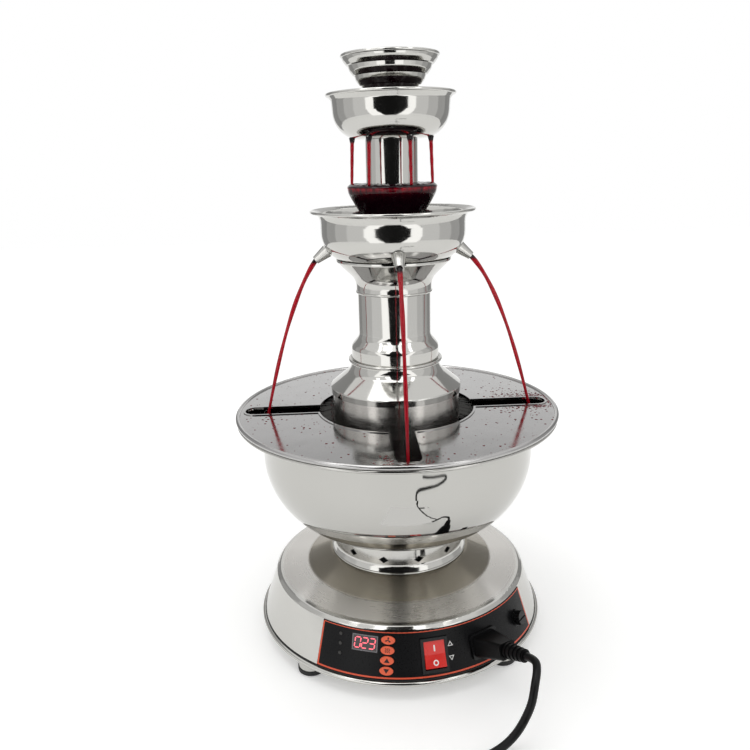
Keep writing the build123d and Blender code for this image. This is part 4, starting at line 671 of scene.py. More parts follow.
def running_drink(name, deep, bright, low, high):
    """Drink running down steel: nearly black, and bright red in a broken band where its skin is thin."""
    material, tree = blank(name)
    place = add(tree, "ShaderNodeTexCoord").outputs["Object"]
    height = add(tree, "ShaderNodeSeparateXYZ", {0: place}).outputs[2]
    ends = {"From Min": low * MM, "From Max": high * MM}
    rise = add(tree, "ShaderNodeMapRange", {"Value": height, **ends}).outputs[0]
    band = add(tree, "ShaderNodeValToRGB", {0: rise})
    stops = band.color_ramp.elements
    stops.remove(stops[1])
    stops[0].color = (THIN_BAND[0][1],) * 3 + (1.0,)
    for at, level in THIN_BAND[1:]:
        stops.new(at).color = (level, level, level, 1.0)
    long = add(tree, "ShaderNodeVectorMath", {0: place, 1: RUN_STRETCH}, operation="MULTIPLY").outputs[0]
    runs = {"Vector": long, "Scale": 1 / (RUN_WIDTH * MM), "Detail": 2.0}
    ripple = add(tree, "ShaderNodeTexNoise", runs).outputs[0]
    known = {"Value": ripple, "From Min": NOISE_LOW, "From Max": NOISE_HIGH}
    broken = add(tree, "ShaderNodeMapRange", known).outputs[0]
    thin = add(tree, "ShaderNodeMath", {0: band.outputs[0], 1: broken}, operation="MULTIPLY").outputs[0]
    shade = add(tree, "ShaderNodeMix", {0: thin, 6: deep, 7: bright}, data_type="RGBA").outputs[2]
    relief = add(tree, "ShaderNodeBump", {"Strength": 0.5, "Distance": RUN_DEPTH * MM, "Height": ripple})
    shader = add(
        tree,
        "ShaderNodeBsdfPrincipled",
        {"Base Color": shade, "Roughness": 0.08, "IOR": DRINK_IOR, "Normal": relief.outputs[0]},
    )
    add(tree, "ShaderNodeOutputMaterial", {"Surface": shader.outputs[0]})
    return material


def ink(name, tint, glow=0.0):
    """Screen-printed ink: flat and slightly uneven, its grain drawn coarser than the real 0.1 mm."""
    material, tree = blank(name)
    place = add(tree, "ShaderNodeTexCoord").outputs["Object"]
    dots = {"Vector": place, "Scale": 1 / (INK_GRAIN * MM), "Detail": 2.0}
    grain = add(tree, "ShaderNodeTexNoise", dots).outputs[0]
    thin = shaded(tint, 0.86)
    shade = add(tree, "ShaderNodeMix", {0: grain, 6: thin, 7: tint}, data_type="RGBA").outputs[2]
    shader = add(
        tree,
        "ShaderNodeBsdfPrincipled",
        {"Base Color": shade, "Roughness": 0.38, "Emission Color": tint, "Emission Strength": glow},
    )
    add(tree, "ShaderNodeOutputMaterial", {"Surface": shader.outputs[0]})
    return material


def printed(name, shapes, azimuth, rise, body, material, node, lift=INK_LIFT, fine=PRINT_EDGE):
    """Lays flat shapes, given in millimetres on the panel, onto a solid, with edges up to a fine length."""
    at, right, up, out = on_panel(azimuth, rise)
    build = bmesh.new()
    for loops in shapes:
        rows = [[build.verts.new((x, y, 0)) for x, y in loop] for loop in loops]
        if len(rows) == 2:
            join_rows(build, list(zip(*rows)), True)
        else:
            build.faces.new(rows[0])
    for _ in range(4):
        bmesh.ops.triangulate(build, faces=build.faces[:])
        long = [edge for edge in build.edges if edge.calc_length() > fine]
        if not long:
            break
        bmesh.ops.subdivide_edges(build, edges=long, cuts=1)
    tree = solid_tree(node)
    for vert in build.verts:
        start = at + right * vert.co.x * MM + up * vert.co.y * MM + out * PRINT_START * MM
        place = tree.ray_cast(start, -out)[0]
        if place is None:
            raise RuntimeError(f"{name}: nothing lies below a printed shape")
        vert.co = place + out * lift * MM
    turn_faces(build, out)
    return put(name, from_bmesh(name, build), body, material)


def circle(width, count, middle=0.0):
    """Points of a circle whose middle may lie higher or lower."""
    turns = [2 * math.pi * i / count for i in range(count)]
    return [(width / 2 * math.cos(t), middle + width / 2 * math.sin(t)) for t in turns]


def block(x0, y0, x1, y1):
    """Corners of a rectangle."""
    return [(x0, y0), (x1, y0), (x1, y1), (x0, y1)]


def lathe(build, profile, steps, wobble=None):
    """Turns a profile of radius and height in millimetres round the axis, its height changed by a wobble."""
    rows = []
    for i in range(steps):
        azimuth = 360 * i / steps
        row = []
        for radius, height in profile:
            extra = wobble(radius, azimuth) if wobble else 0.0
            row.append(build.verts.new(around(radius, azimuth, height + extra)))
        rows.append(row)
    join_rows(build, rows, True)


def tube(build, places, widths, sides, swing, waves):
    """A closed tube along places in metres; its oval section swaps its long side as it goes."""
    rows = []
    for i, (place, width) in enumerate(zip(places, widths)):
        before = places[max(i - 1, 0)]
        after = places[min(i + 1, len(places) - 1)]
        heading = (after - before).normalized()
        side = heading.cross(Vector((0, 1, 0.02))).normalized()
        other = heading.cross(side)
        phase = swing * math.sin(2 * math.pi * waves * i / len(places))
        row = []
        for k in range(sides):
            turn = 2 * math.pi * k / sides
            across = side * math.cos(turn) * (1 + phase) + other * math.sin(turn) * (1 - phase)
            row.append(build.verts.new(place + across * width / 2))
        rows.append(row)
    for near, far in zip(rows, rows[1:]):
        for k in range(sides):
            n = (k + 1) % sides
            build.faces.new((near[k], near[n], far[n], far[k]))
    build.faces.new(rows[0])
    build.faces.new(rows[-1])
    bmesh.ops.recalc_face_normals(build, faces=build.faces[:])


def node_group(name, **inputs):
    """Empty geometry nodes, with the node that gives their named inputs and these inputs' identifiers."""
    tree = bpy.data.node_groups.new(name, "GeometryNodeTree")
    tree.interface.new_socket("Geometry", in_out="INPUT", socket_type="NodeSocketGeometry")
    keys = []
    for label, kind in inputs.items():
        keys.append(tree.interface.new_socket(label, in_out="INPUT", socket_type=kind).identifier)
    tree.interface.new_socket("Geometry", in_out="OUTPUT", socket_type="NodeSocketGeometry")
    return tree, add(tree, "NodeGroupInput").outputs, keys


def ring_nodes():
    """Geometry nodes that set copies of a shape round the upright axis."""
    tree, given, keys = node_group("copies_round_axis", Count="NodeSocketInt", Finish="NodeSocketMaterial")
    line = add(tree, "GeometryNodeMeshLine", {"Count": given["Count"], "Offset": (0.0, 0.0, 0.0)})
    index = add(tree, "GeometryNodeInputIndex").outputs[0]
    step = add(tree, "ShaderNodeMath", {0: 2 * math.pi, 1: given["Count"]}, operation="DIVIDE").outputs[0]
    turn = add(tree, "ShaderNodeMath", {0: index, 1: step}, operation="MULTIPLY").outputs[0]
    spin = add(tree, "ShaderNodeCombineXYZ", {2: turn}).outputs[0]
    copies = add(
        tree,
        "GeometryNodeInstanceOnPoints",
        {"Points": line.outputs[0], "Instance": given["Geometry"], "Rotation": spin},
    )
    real = add(tree, "GeometryNodeRealizeInstances", {0: copies.outputs[0]}).outputs[0]
    coat = add(tree, "GeometryNodeSetMaterial", {"Geometry": real, "Material": given["Finish"]})
    add(tree, "NodeGroupOutput", {0: coat.outputs[0]})
    return tree, keys


def speck_nodes():
    """Geometry nodes that scatter flat drops over a surface, thickest where it is wettest."""
    tree, given, keys = node_group(
        "scattered_specks", Largest="NodeSocketFloat", Seed="NodeSocketInt", Finish="NodeSocketMaterial"
    )
    wet = add(tree, "GeometryNodeInputNamedAttribute", {"Name": "wet"}, data_type="FLOAT").outputs[0]
    points = add(
        tree,
        "GeometryNodeDistributePointsOnFaces",
        {"Mesh": given["Geometry"], "Density": wet, "Seed": given["Seed"]},
        distribute_method="RANDOM",
    )
    ball = add(tree, "GeometryNodeMeshIcoSphere", {"Radius": 1.0, "Subdivisions": 2}).outputs[0]
    shape = {"Geometry": ball, "Scale": (1.0, 1.0, SPECK_FLATNESS)}
    flat = add(tree, "GeometryNodeTransform", shape).outputs[0]
    draw = {2: 0.0, 3: 1.0, "Seed": given["Seed"]}
    chance = add(tree, "FunctionNodeRandomValue", draw, data_type="FLOAT").outputs[1]
    rare = add(tree, "ShaderNodeMath", {0: chance, 1: SPECK_RARITY}, operation="POWER").outputs[0]
    sizes = {0: rare, 1: 1 - SPECK_LEAST, 2: SPECK_LEAST}
    share = add(tree, "ShaderNodeMath", sizes, operation="MULTIPLY_ADD").outputs[0]
    size = add(tree, "ShaderNodeMath", {0: share, 1: given["Largest"]}, operation="MULTIPLY").outputs[0]
    copies = add(
        tree,
        "GeometryNodeInstanceOnPoints",
        {"Points": points.outputs["Points"], "Instance": flat, "Scale": size},
    )
    real = add(tree, "GeometryNodeRealizeInstances", {0: copies.outputs[0]}).outputs[0]
    even = add(tree, "GeometryNodeSetShadeSmooth", {0: real}).outputs[0]
    coat = add(tree, "GeometryNodeSetMaterial", {"Geometry": even, "Material": given["Finish"]})
    add(tree, "NodeGroupOutput", {0: coat.outputs[0]})
    return tree, keys


def made_by(tree, keys, name, mesh, values):
    """Runs geometry nodes on a mesh, with a value for each input, and returns the plain mesh they give."""
    maker = bpy.data.objects.new(name + "_maker", mesh)
    bpy.context.scene.collection.objects.link(maker)
    nodes = maker.modifiers.new("nodes", "NODES")
    nodes.node_group = tree
    for identifier, value in zip(keys, values):
        nodes[identifier] = value
    depsgraph = bpy.context.evaluated_depsgraph_get()
    result = bpy.data.meshes.new_from_object(maker.evaluated_get(depsgraph))
    result.name = name
    bpy.data.objects.remove(maker)
    return result


class FountainCameraOperator(bpy.types.Operator):
    """Sets the camera where the photograph was taken"""

    bl_idname = "fountain.camera"
    bl_label = "Set Camera"

    def execute(self, context):
        stage = context.scene.fountain_stage
        lens = bpy.data.cameras.new("photo_camera")
        lens.sensor_width = 36.0
        lens.lens = stage.lens
        lens.clip_start = 0.01
        camera = bpy.data.objects.new("photo_camera", lens)
        camera.location = stage.place
        camera.rotation_euler = stage.turn
        context.scene.collection.objects.link(camera)
        context.scene.camera = camera
        context.scene.view_settings.view_transform = "Standard"
        return {"FINISHED"}


class FountainCordOperator(bpy.types.Operator):
    """Lays the mains cord from its connector to the table and into its coil"""

    bl_idname = "fountain.cord"
    bl_label = "Lay Cord"

    def coil_place(self, cord, turns):
        """Point of the coil after some turns, in metres: inwards on the table, then outwards on top."""
        climb = min(max((turns - COIL_DOWN + COIL_CLIMB / 2) / COIL_CLIMB, 0), 1)
        climb = climb * climb * (3 - 2 * climb)
        radius = cord.coil_radius + cord.pitch * abs(turns - COIL_DOWN)
        swing = max(turns - (COIL_TURNS - COIL_TAIL_TURNS), 0) / COIL_TAIL_TURNS
        radius += COIL_TAIL_SWING * MM * swing * swing
        angle = math.radians(COIL_START) + 2 * math.pi * turns
        height = COIL_LIFT * MM + cord.diameter / 2 + cord.layer * climb
        centre = Vector((*COIL_CENTRE, 0)) * MM
        return centre + Vector((radius * math.cos(angle), radius * math.sin(angle), height))

    def coil_heading(self, cord, turns):
        """Direction of the coil there."""
        small = 0.001
        return (self.coil_place(cord, turns + small) - self.coil_place(cord, turns - small)).normalized()

    def execute(self, context):
        cord = context.scene.fountain_cord
        heading = self.coil_heading(cord, 0)
        end = self.coil_place(cord, 0) - heading * cord.diameter
        route = [Vector(place) * MM for place in CORD_ROUTE]
        route += [end - heading * COIL_LEAD * MM, end]
        steps = round(COIL_TURNS * cord.points)
        route += [self.coil_place(cord, COIL_TURNS * step / steps) for step in range(steps + 1)]
        route.append(route[-1] + self.coil_heading(cord, COIL_TURNS) * COIL_TAIL_RUN * MM)
        line = bpy.data.curves.new("mains_cord", "CURVE")
        line.dimensions = "3D"
        spline = line.splines.new("NURBS")
        spline.points.add(len(route) - 1)
        for point, place in zip(spline.points, route):
            point.co = (*place, 1.0)
        spline.order_u = 3
        spline.use_endpoint_u = True
        spline.resolution_u = 6
        line.bevel_depth = cord.diameter / 2
        line.bevel_resolution = 5
        line.use_fill_caps = True
        # Soft extruded PVC sheath: nearly black, with a dull gloss and a fine grain
        sheath = moulded("black_pvc_sheath", cord.sheath, 0.36, 0.6, 0.03, gloss_level=0.2)
        line.materials.append(sheath)
        piece = bpy.data.objects.new("mains_cord", line)
        context.scene.collection.objects.link(piece)
        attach(piece, "base")
        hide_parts("cord_run", "cord_coil")
        # Moulded PVC of connector and plug: a little duller than the sheath
        pvc = moulded("moulded_black_pvc", linear("#050506"), 0.36, 0.8, 0.05, gloss_level=0.12)
        dress(pvc, "cord_connector", "cord_plug")
        # Nylon strap: a dark grey with little shine
        dress(moulded("black_nylon_strap", linear("#141416"), 0.5, 0.5, 0.05), "cord_tie")
        return {"FINISHED"}


class FountainSteelOperator(bpy.types.Operator):
    """Finishes the spun and pressed steel sheets"""

    bl_idname = "fountain.steel"
    bl_label = "Finish Steel"

    def execute(self, context):
        steel = context.scene.fountain_steel
        lay = (steel.line, steel.wave)
        # Spun stainless steel buffed to a mirror: sharp reflections with faint turning lines
        mirror = spun_steel("polished_spun_stainless", steel.tint, steel.mirror, 0.03, *lay, 0.08)
        dress(mirror, "column_shoulder", "column_trunk", "column_capital", "vent_collar", "mid_bowl")
        dress(mirror, "drip_cup", "upper_tube", "upper_bowl", "top_cup", "base_tray", "foot_posts")
        # Spun stainless steel buffed last and hardest: the widest bowl is the clearest mirror
        clear = spun_steel("buffed_spun_stainless", linear("#BAB9B5"), 0.035, 0.012, *lay, 0.04)
        dress(clear, "lower_bowl")
        # Spun stainless steel, brushed round the collar and polished on the skirt: streaks across the grain.
        # The brushed ring is painted paler, a painted sheen, and the well round the collar painted darker
        # brown, painted shade under the lower bowl
        zones = ((BRUSHED_TO, 0.2, steel.brushed_painted_sheen), (WELL_TO, -0.05, steel.well_painted_shade))
        shell = spun_steel(
            "part_brushed_stainless", steel.tint, steel.mirror, 0.03, *lay, 0.08, BRUSH_PULL, zones
        )
        dress(shell, "base_shell")
        # Spun stainless steel with a fine brushed grain round the axis: reflections smear upwards, and its
        # colour is painted paler than the polished steel as a painted sheen
        satin = spun_steel(
            "brushed_spun_stainless", steel.brushed_painted_sheen, steel.satin, 0.06, *lay, 0.04, BRUSH_PULL
        )
        dress(satin, "column_skirt")
        # Pressed stainless sheet, dulled by wiping: a soft grey mirror
        dress(spun_steel("wiped_pressed_stainless", steel.plate_tint, 0.12, 0.05, *lay, 0.1), "splash_plate")
        # Turned stainless steel: a clean mirror with visible tool lines
        turned = spun_steel("turned_stainless", steel.tint, 0.14, 0.05, *lay, 0.03)
        dress(turned, "spouts", "drip_nozzles", "riser_tube")
        # Zinc-plated steel: bluish and a little dull
        plated = moulded("zinc_plated_steel", steel.plain_tint, 0.34, 1.2, 0.04, metallic=1.0)
        dress(plated, "foot_screws", "tie_rods", "tie_nuts", "motor_screws", "spout_nuts")
        dress(plated, "temperature_probe")
        return {"FINISHED"}


class FountainInsideOperator(bpy.types.Operator):
    """Finishes the motor, pump, heater and circuit inside"""

    bl_idname = "fountain.inside"
    bl_label = "Finish Inside"

    def execute(self, context):
        # Galvanised steel sheet: large pale crystals
        zinc = moulded("galvanised_sheet", linear("#A9ADB0"), 0.4, 6.0, 0.03, metallic=1.0, mottle=0.2)
        dress(zinc, "motor_plate", "motor_case")
        # Ground bearing steel: bright and even
        ground = moulded("bearing_steel", linear("#BCBEC0"), 0.18, 0.6, 0.01, metallic=1.0)
        dress(ground, "motor_bearings")
        # Ground shaft steel: greyer, with a soft shine
        shaft = moulded("ground_shaft_steel", linear("#9FA1A3"), 0.3, 0.5, 0.02, metallic=1.0)
        dress(shaft, "motor_rotor")
        # Enamelled copper wire: brown, with the shine of varnish
        wire = moulded("enamelled_copper", linear("#8C4A22"), 0.34, 0.5, 0.1, metallic=1.0)
        dress(wire, "stator")
        # Machined aluminium: pale, with a soft shine
        milled = moulded("machined_aluminium", linear("#C3C5C8"), 0.36, 1.0, 0.04, metallic=1.0)
        dress(milled, "drive_hub")
        # Cast aluminium: grey, dull and pitted
        cast = moulded("cast_aluminium", linear("#A7A8AA"), 0.5, 1.6, 0.12, metallic=1.0)
        dress(cast, "heater_ring")
        # Food-safe moulded polypropylene: a dull off-white
        white = moulded("white_polypropylene", linear("#D9D8D2"), 0.42, 0.8, 0.04, mottle=0.04)
        dress(white, "pump_housing", "pump_cover", "impeller", "riser_spiders")
        # Fibreglass board under green lacquer: dark, with a soft gloss
        dress(moulded("green_circuit_board", linear("#0E4A27"), 0.34, 0.7, 0.05), "control_board")
        # Moulded red silicone: matte
        dress(moulded("red_silicone", linear("#7A2A20"), 0.55, 0.6, 0.04), "riser_seal")
        # Nickel-plated brass: pale yellow and bright
        pins = moulded("nickelled_brass", linear("#C9B274"), 0.26, 0.6, 0.02, metallic=1.0)
        dress(pins, "inlet_pins")
        # Glass tube: pale and very glossy
        dress(moulded("fuse_glass", linear("#D5DCDC"), 0.08, 1.0, 0.01), "fuse_cartridge")
        # Moulded switch plastic: black, with little shine
        black = moulded("black_switch_plastic", linear("#101012"), 0.45, 0.6, 0.04)
        dress(black, "tact_switches", "display_module")
        return {"FINISHED"}


class FountainTrimOperator(bpy.types.Operator):
    """Finishes the rubber and the black plastic fittings"""

    bl_idname = "fountain.trim"
    bl_label = "Finish Trim"

    def execute(self, context):
        # Moulded nitrile rubber: black and matte
        dress(moulded("black_rubber", linear("#0B0B0B"), 0.62, 0.7, 0.08), "foot_pads", "base_gasket")
        # Glass-filled nylon of bought-in fittings: black with a low sheen
        nylon = moulded("black_nylon", linear("#08080A"), 0.3, 0.6, 0.05, gloss_level=0.3)
        dress(nylon, "rocker_frame", "inlet_housing", "fuse_holder", "fuse_cap")
        return {"FINISHED"}


class FountainPanelOperator(bpy.types.Operator):
    """Prints the border and the symbols on the panel film"""

    bl_idname = "fountain.panel"
    bl_label = "Print Panel"

    def execute(self, context):
        panel = context.scene.fountain_panel
        # Polyester panel film: deep black with a soft gloss
        film = moulded("black_polyester_film", panel.film, 0.3, 1.2, 0.03, gloss_level=0.15)
        dress(film, "panel_overlay")
        self.border(panel)
        # White screen ink: opaque, a little uneven
        white = ink("white_screen_ink", panel.ink)
        flipped = [[(x, -y) for x, y in loop] for loop in MARK]
        for name, mark, rise in (("up_mark", MARK, MARK_RISES[0]), ("down_mark", flipped, MARK_RISES[1])):
            printed(name, [mark], MARK_AZIMUTH, rise, "base", white, "panel_overlay")
        return {"FINISHED"}

    def border(self, panel):
        """A line of ink along the edge of the film."""
        tree = solid_tree("panel_overlay")
        inset = panel.border_inset / MM
        build = bmesh.new()
        rows = []
        for gap in (inset, inset + panel.border_width / MM):
            side = math.degrees(gap / skirt_radius(PANEL_MIDDLE))
            low = OVERLAY_LOW + gap * math.cos(SKIRT_LEAN)
            high = OVERLAY_HIGH - gap * math.cos(SKIRT_LEAN)
            left = OVERLAY_LEFT + side
            right = OVERLAY_RIGHT - side
            loop = [(left + (right - left) * i / BORDER_STEPS, low) for i in range(BORDER_STEPS)]
            loop += [(right, low + (high - low) * i / BORDER_RISES) for i in range(BORDER_RISES)]
            loop += [(right + (left - right) * i / BORDER_STEPS, high) for i in range(BORDER_STEPS)]
            loop += [(left, high + (low - high) * i / BORDER_RISES) for i in range(BORDER_RISES)]
            row = []
            for azimuth, height in loop:
                out = on_panel(azimuth)[3]
                start = around(skirt_radius(height), azimuth, height) + out * BORDER_START * MM
                place = tree.ray_cast(start, -out)[0]
                if place is None:
                    place = start - out * (BORDER_START - FILM_FRONT) * MM
                row.append(build.verts.new(place + out * INK_LIFT * MM))
            rows.append(row)
        join_rows(build, list(zip(*rows)), True)
        turn_faces(build, on_panel((OVERLAY_LEFT + OVERLAY_RIGHT) / 2)[3])
        # Orange screen ink: opaque, a little uneven
        orange = ink("orange_screen_ink", panel.border)
        piece = put("panel_border", from_bmesh("panel_border", build), "base", orange)


class FountainDisplayOperator(bpy.types.Operator):
    """Lights the digits of the display, and finishes its window, edge and unlit lamps"""

    bl_idname = "fountain.display"
    bl_label = "Light Display"

    def execute(self, context):
        panel = context.scene.fountain_panel
        # Smoked red acrylic window: nearly black until its segments light
        smoked = lit_plastic("smoked_red_acrylic", linear("#14070A"), linear("#5A0A10"), 0.06, 0.12, 6.0)
        dress(smoked, "display_window")
        # Unlit lamps of cloudy epoxy: dark, with a soft gloss
        dress(moulded("cloudy_epoxy_lamp", linear("#262321"), 0.3, 0.8, 0.02), "indicator_leds")
        # Grey screen ink: a flat line round the window
        grey = ink("grey_display_edge", panel.frame)
        edge = [block(-x, -y, x, y) for x, y in WINDOW_EDGES]
        printed("display_edge", [edge], BOARD_AZIMUTH, WINDOW_RISE, "base", grey, "display_window")
        # Lit segments behind the window: bright red with no shading
        glow = ink("lit_segments", panel.lit, 0.9)
        shapes = self.digits(panel)
        piece = printed(
            "display_digits", shapes, BOARD_AZIMUTH, WINDOW_RISE, "base", glow, "display_window", DIGIT_LIFT
        )
        return {"FINISHED"}

    def digits(self, panel):
        """Outlines of the lit bars of a three-digit number."""
        tall = panel.digit_height / MM
        wide = tall * DIGIT_WIDTH
        bar = tall * DIGIT_BAR
        thick = bar / 2
        places = {
            "a": (0, tall / 2, 1),
            "d": (0, -tall / 2, 1),
            "g": (0, 0, 1),
            "b": (wide / 2, tall / 4, 0),
            "c": (wide / 2, -tall / 4, 0),
            "e": (-wide / 2, -tall / 4, 0),
            "f": (-wide / 2, tall / 4, 0),
        }
        shapes = []
        for column, digit in enumerate(f"{panel.reading:03d}"):
            middle = (column - 1) * tall * DIGIT_STEP
            for name in LIT_BARS[int(digit)]:
                x, y, flat = places[name]
                half = (wide if flat else tall / 2) / 2 - BAR_GAP - bar * BAR_GAP_SHARE
                if flat:
                    ends = ((-half, 0), (-half + thick, thick), (half - thick, thick), (half, 0))
                    ends += ((half - thick, -thick), (-half + thick, -thick))
                else:
                    ends = ((0, -half), (thick, -half + thick), (thick, half - thick), (0, half))
                    ends += ((-thick, half - thick), (-thick, -half + thick))
                shapes.append([[(middle + x + u + DIGIT_SLANT * (y + v), y + v) for u, v in ends]])
        return shapes


class FountainKeysOperator(bpy.types.Operator):
    """Prints symbols on the four keys"""

    bl_idname = "fountain.keys"
    bl_label = "Print Keys"

    def execute(self, context):
        panel = context.scene.fountain_panel
        # Moulded silicone keys: orange, with a dull bloom
        silicone = moulded("orange_silicone", panel.key, 0.48, 0.8, 0.03, mottle=0.06)
        dress(silicone, "key_motor", "key_heat", "key_up", "key_down")
        # Dark screen ink: flat on the silicone
        dark = ink("black_key_ink", panel.key_ink)
        symbols = {"motor": self.fan(), "heat": self.flames(), "up": [[UP_ARROW]], "down": [[DOWN_ARROW]]}
        for name, shapes in symbols.items():
            moved = [[[(x + KEY_OFFSET, y) for x, y in loop] for loop in loops] for loops in shapes]
            place = (BOARD_AZIMUTH, KEY_RISES[name], name + "_key")
            printed(name + "_symbol", moved, *place, dark, "key_" + name, fine=SYMBOL_EDGE)
        return {"FINISHED"}

    def fan(self):
        """Three blades and a hub."""
        shapes = []
        for blade in range(3):
            turn = math.radians(90 + 120 * blade)
            c, s = math.cos(turn), math.sin(turn)
            shapes.append([[(x * c - y * s, x * s + y * c) for x, y in FAN_BLADE]])
        shapes.append([circle(FAN_HUB, 14)])
        return shapes

    def flames(self):
        """Three winding lines."""
        shapes = []
        rise = 2 * FLAME_HALF_HEIGHT / FLAME_STEPS
        rows = [-FLAME_HALF_HEIGHT + rise * i for i in range(FLAME_STEPS + 1)]
        for column in FLAME_COLUMNS:
            bend = [column + FLAME_BEND * math.sin(FLAME_WAVE * y) for y in rows]
            left = [(x - FLAME_HALF_WIDTH, y) for x, y in zip(bend, rows)]
            right = [(x + FLAME_HALF_WIDTH, y) for x, y in zip(bend, rows)]
            for i in range(FLAME_STEPS):
                shapes.append([[left[i], right[i], right[i + 1], left[i + 1]]])
        return shapes


class FountainRockerOperator(bpy.types.Operator):
    """Lights the rocker and prints its two marks"""

    bl_idname = "fountain.rocker"
    bl_label = "Light Rocker"

    def execute(self, context):
        panel = context.scene.fountain_panel
        # Clear red polycarbonate with a neon lamp behind it: a glossy, glowing red
        red = lit_plastic("lit_red_polycarbonate", panel.rocker, linear("#FF2A08"), 0.12, 0.2, 12.0)
        dress(red, "rocker_key")
        # White pad-printed ink: a little lit from behind
        white = ink("white_rocker_ink", panel.ink, 0.15)
        ring = [circle(width, 28, OFF_MIDDLE) for width in OFF_RINGS]
        for name, loops in (("on_mark", [block(*ON_BAR)]), ("off_mark", ring)):
            printed(name, [loops], ROCKER_AZIMUTH, ROCKER_RISE, "rocker", white, "rocker_key")
        return {"FINISHED"}


class FountainStreamsOperator(bpy.types.Operator):
    """Pours the streams from the spouts and the nozzles"""

    bl_idname = "fountain.streams"
    bl_label = "Pour Streams"

    def execute(self, context):
        settings = context.scene.fountain_drink
        self.spout_streams(settings)
        self.nozzle_streams(settings)
        return {"FINISHED"}

    def spout_streams(self, settings):
        """Streams that fall in a bow from the spouts and get thinner."""
        start, top = SPOUT_TIP
        build = bmesh.new()
        for azimuth, slope, bend in STREAM_FALLS:
            whole = top - STREAM_END
            reach = (math.sqrt(slope * slope + 4 * bend * whole) - slope) / (2 * bend)
            places = []
            widths = []
            for i in range(-2, STREAM_STEPS + 1):
                share = max(i, 0) / STREAM_STEPS
                run = reach * share + min(i, 0) * STREAM_ROOT_STEP
                drop = slope * run + bend * max(run, 0) ** 2
                places.append(around(start + run, azimuth, top - drop))
                widths.append(settings.stream * (1.0 - STREAM_TAPER * share))
            tube(build, places, widths, sides=14, swing=0.12, waves=3.0)
        # Red drink in a thin stream: clear and wet, dark where it leaves the spout
        fade = [top - below for below in STREAM_DARK]
        thin = drink("thin_red_drink", settings.thin, 0.5, 0.06, settings.deep, fade)
        put("spout_streams", from_bmesh("spout_streams", build), "mid_tier", thin)

    def nozzle_streams(self, settings):
        """Streams that fall straight from the nozzles, each with a bulb at its root."""
        build = bmesh.new()
        places = []
        widths = []
        start = NOZZLE_TIP_Z + DRIP_ROOT
        fall = start - (CUP_RIM_Z + DRIP_GAP)
        for i in range(DRIP_STEPS + 1):
            share = i / DRIP_STEPS
            bulb = max(1 - share * fall / BULB_LENGTH, 0) ** BULB_POWER
            radius = NOZZLE_CIRCLE + DRIP_SPREAD * share
            places.append(around(radius, NOZZLE_AZIMUTH, start - fall * share))
            widths.append(settings.drip * (DRIP_START - DRIP_TAPER * share + BULB_EXTRA * bulb))
        tube(build, places, widths, sides=12, swing=0.08, waves=3.5)
        # Red drink in a falling stream: clear and wet, dark where it hangs at the nozzle
        fade = [NOZZLE_TIP_Z - below for below in DRIP_DARK]
        dripping = drink("dripping_red_drink", settings.thin, 0.5, 0.06, settings.deep, fade)
        shape = from_bmesh("nozzle_stream_shape", build)
        mesh = made_by(*ring_nodes(), "nozzle_streams", shape, (NOZZLE_COUNT, dripping))
        put("nozzle_streams", mesh, "upper_tier")


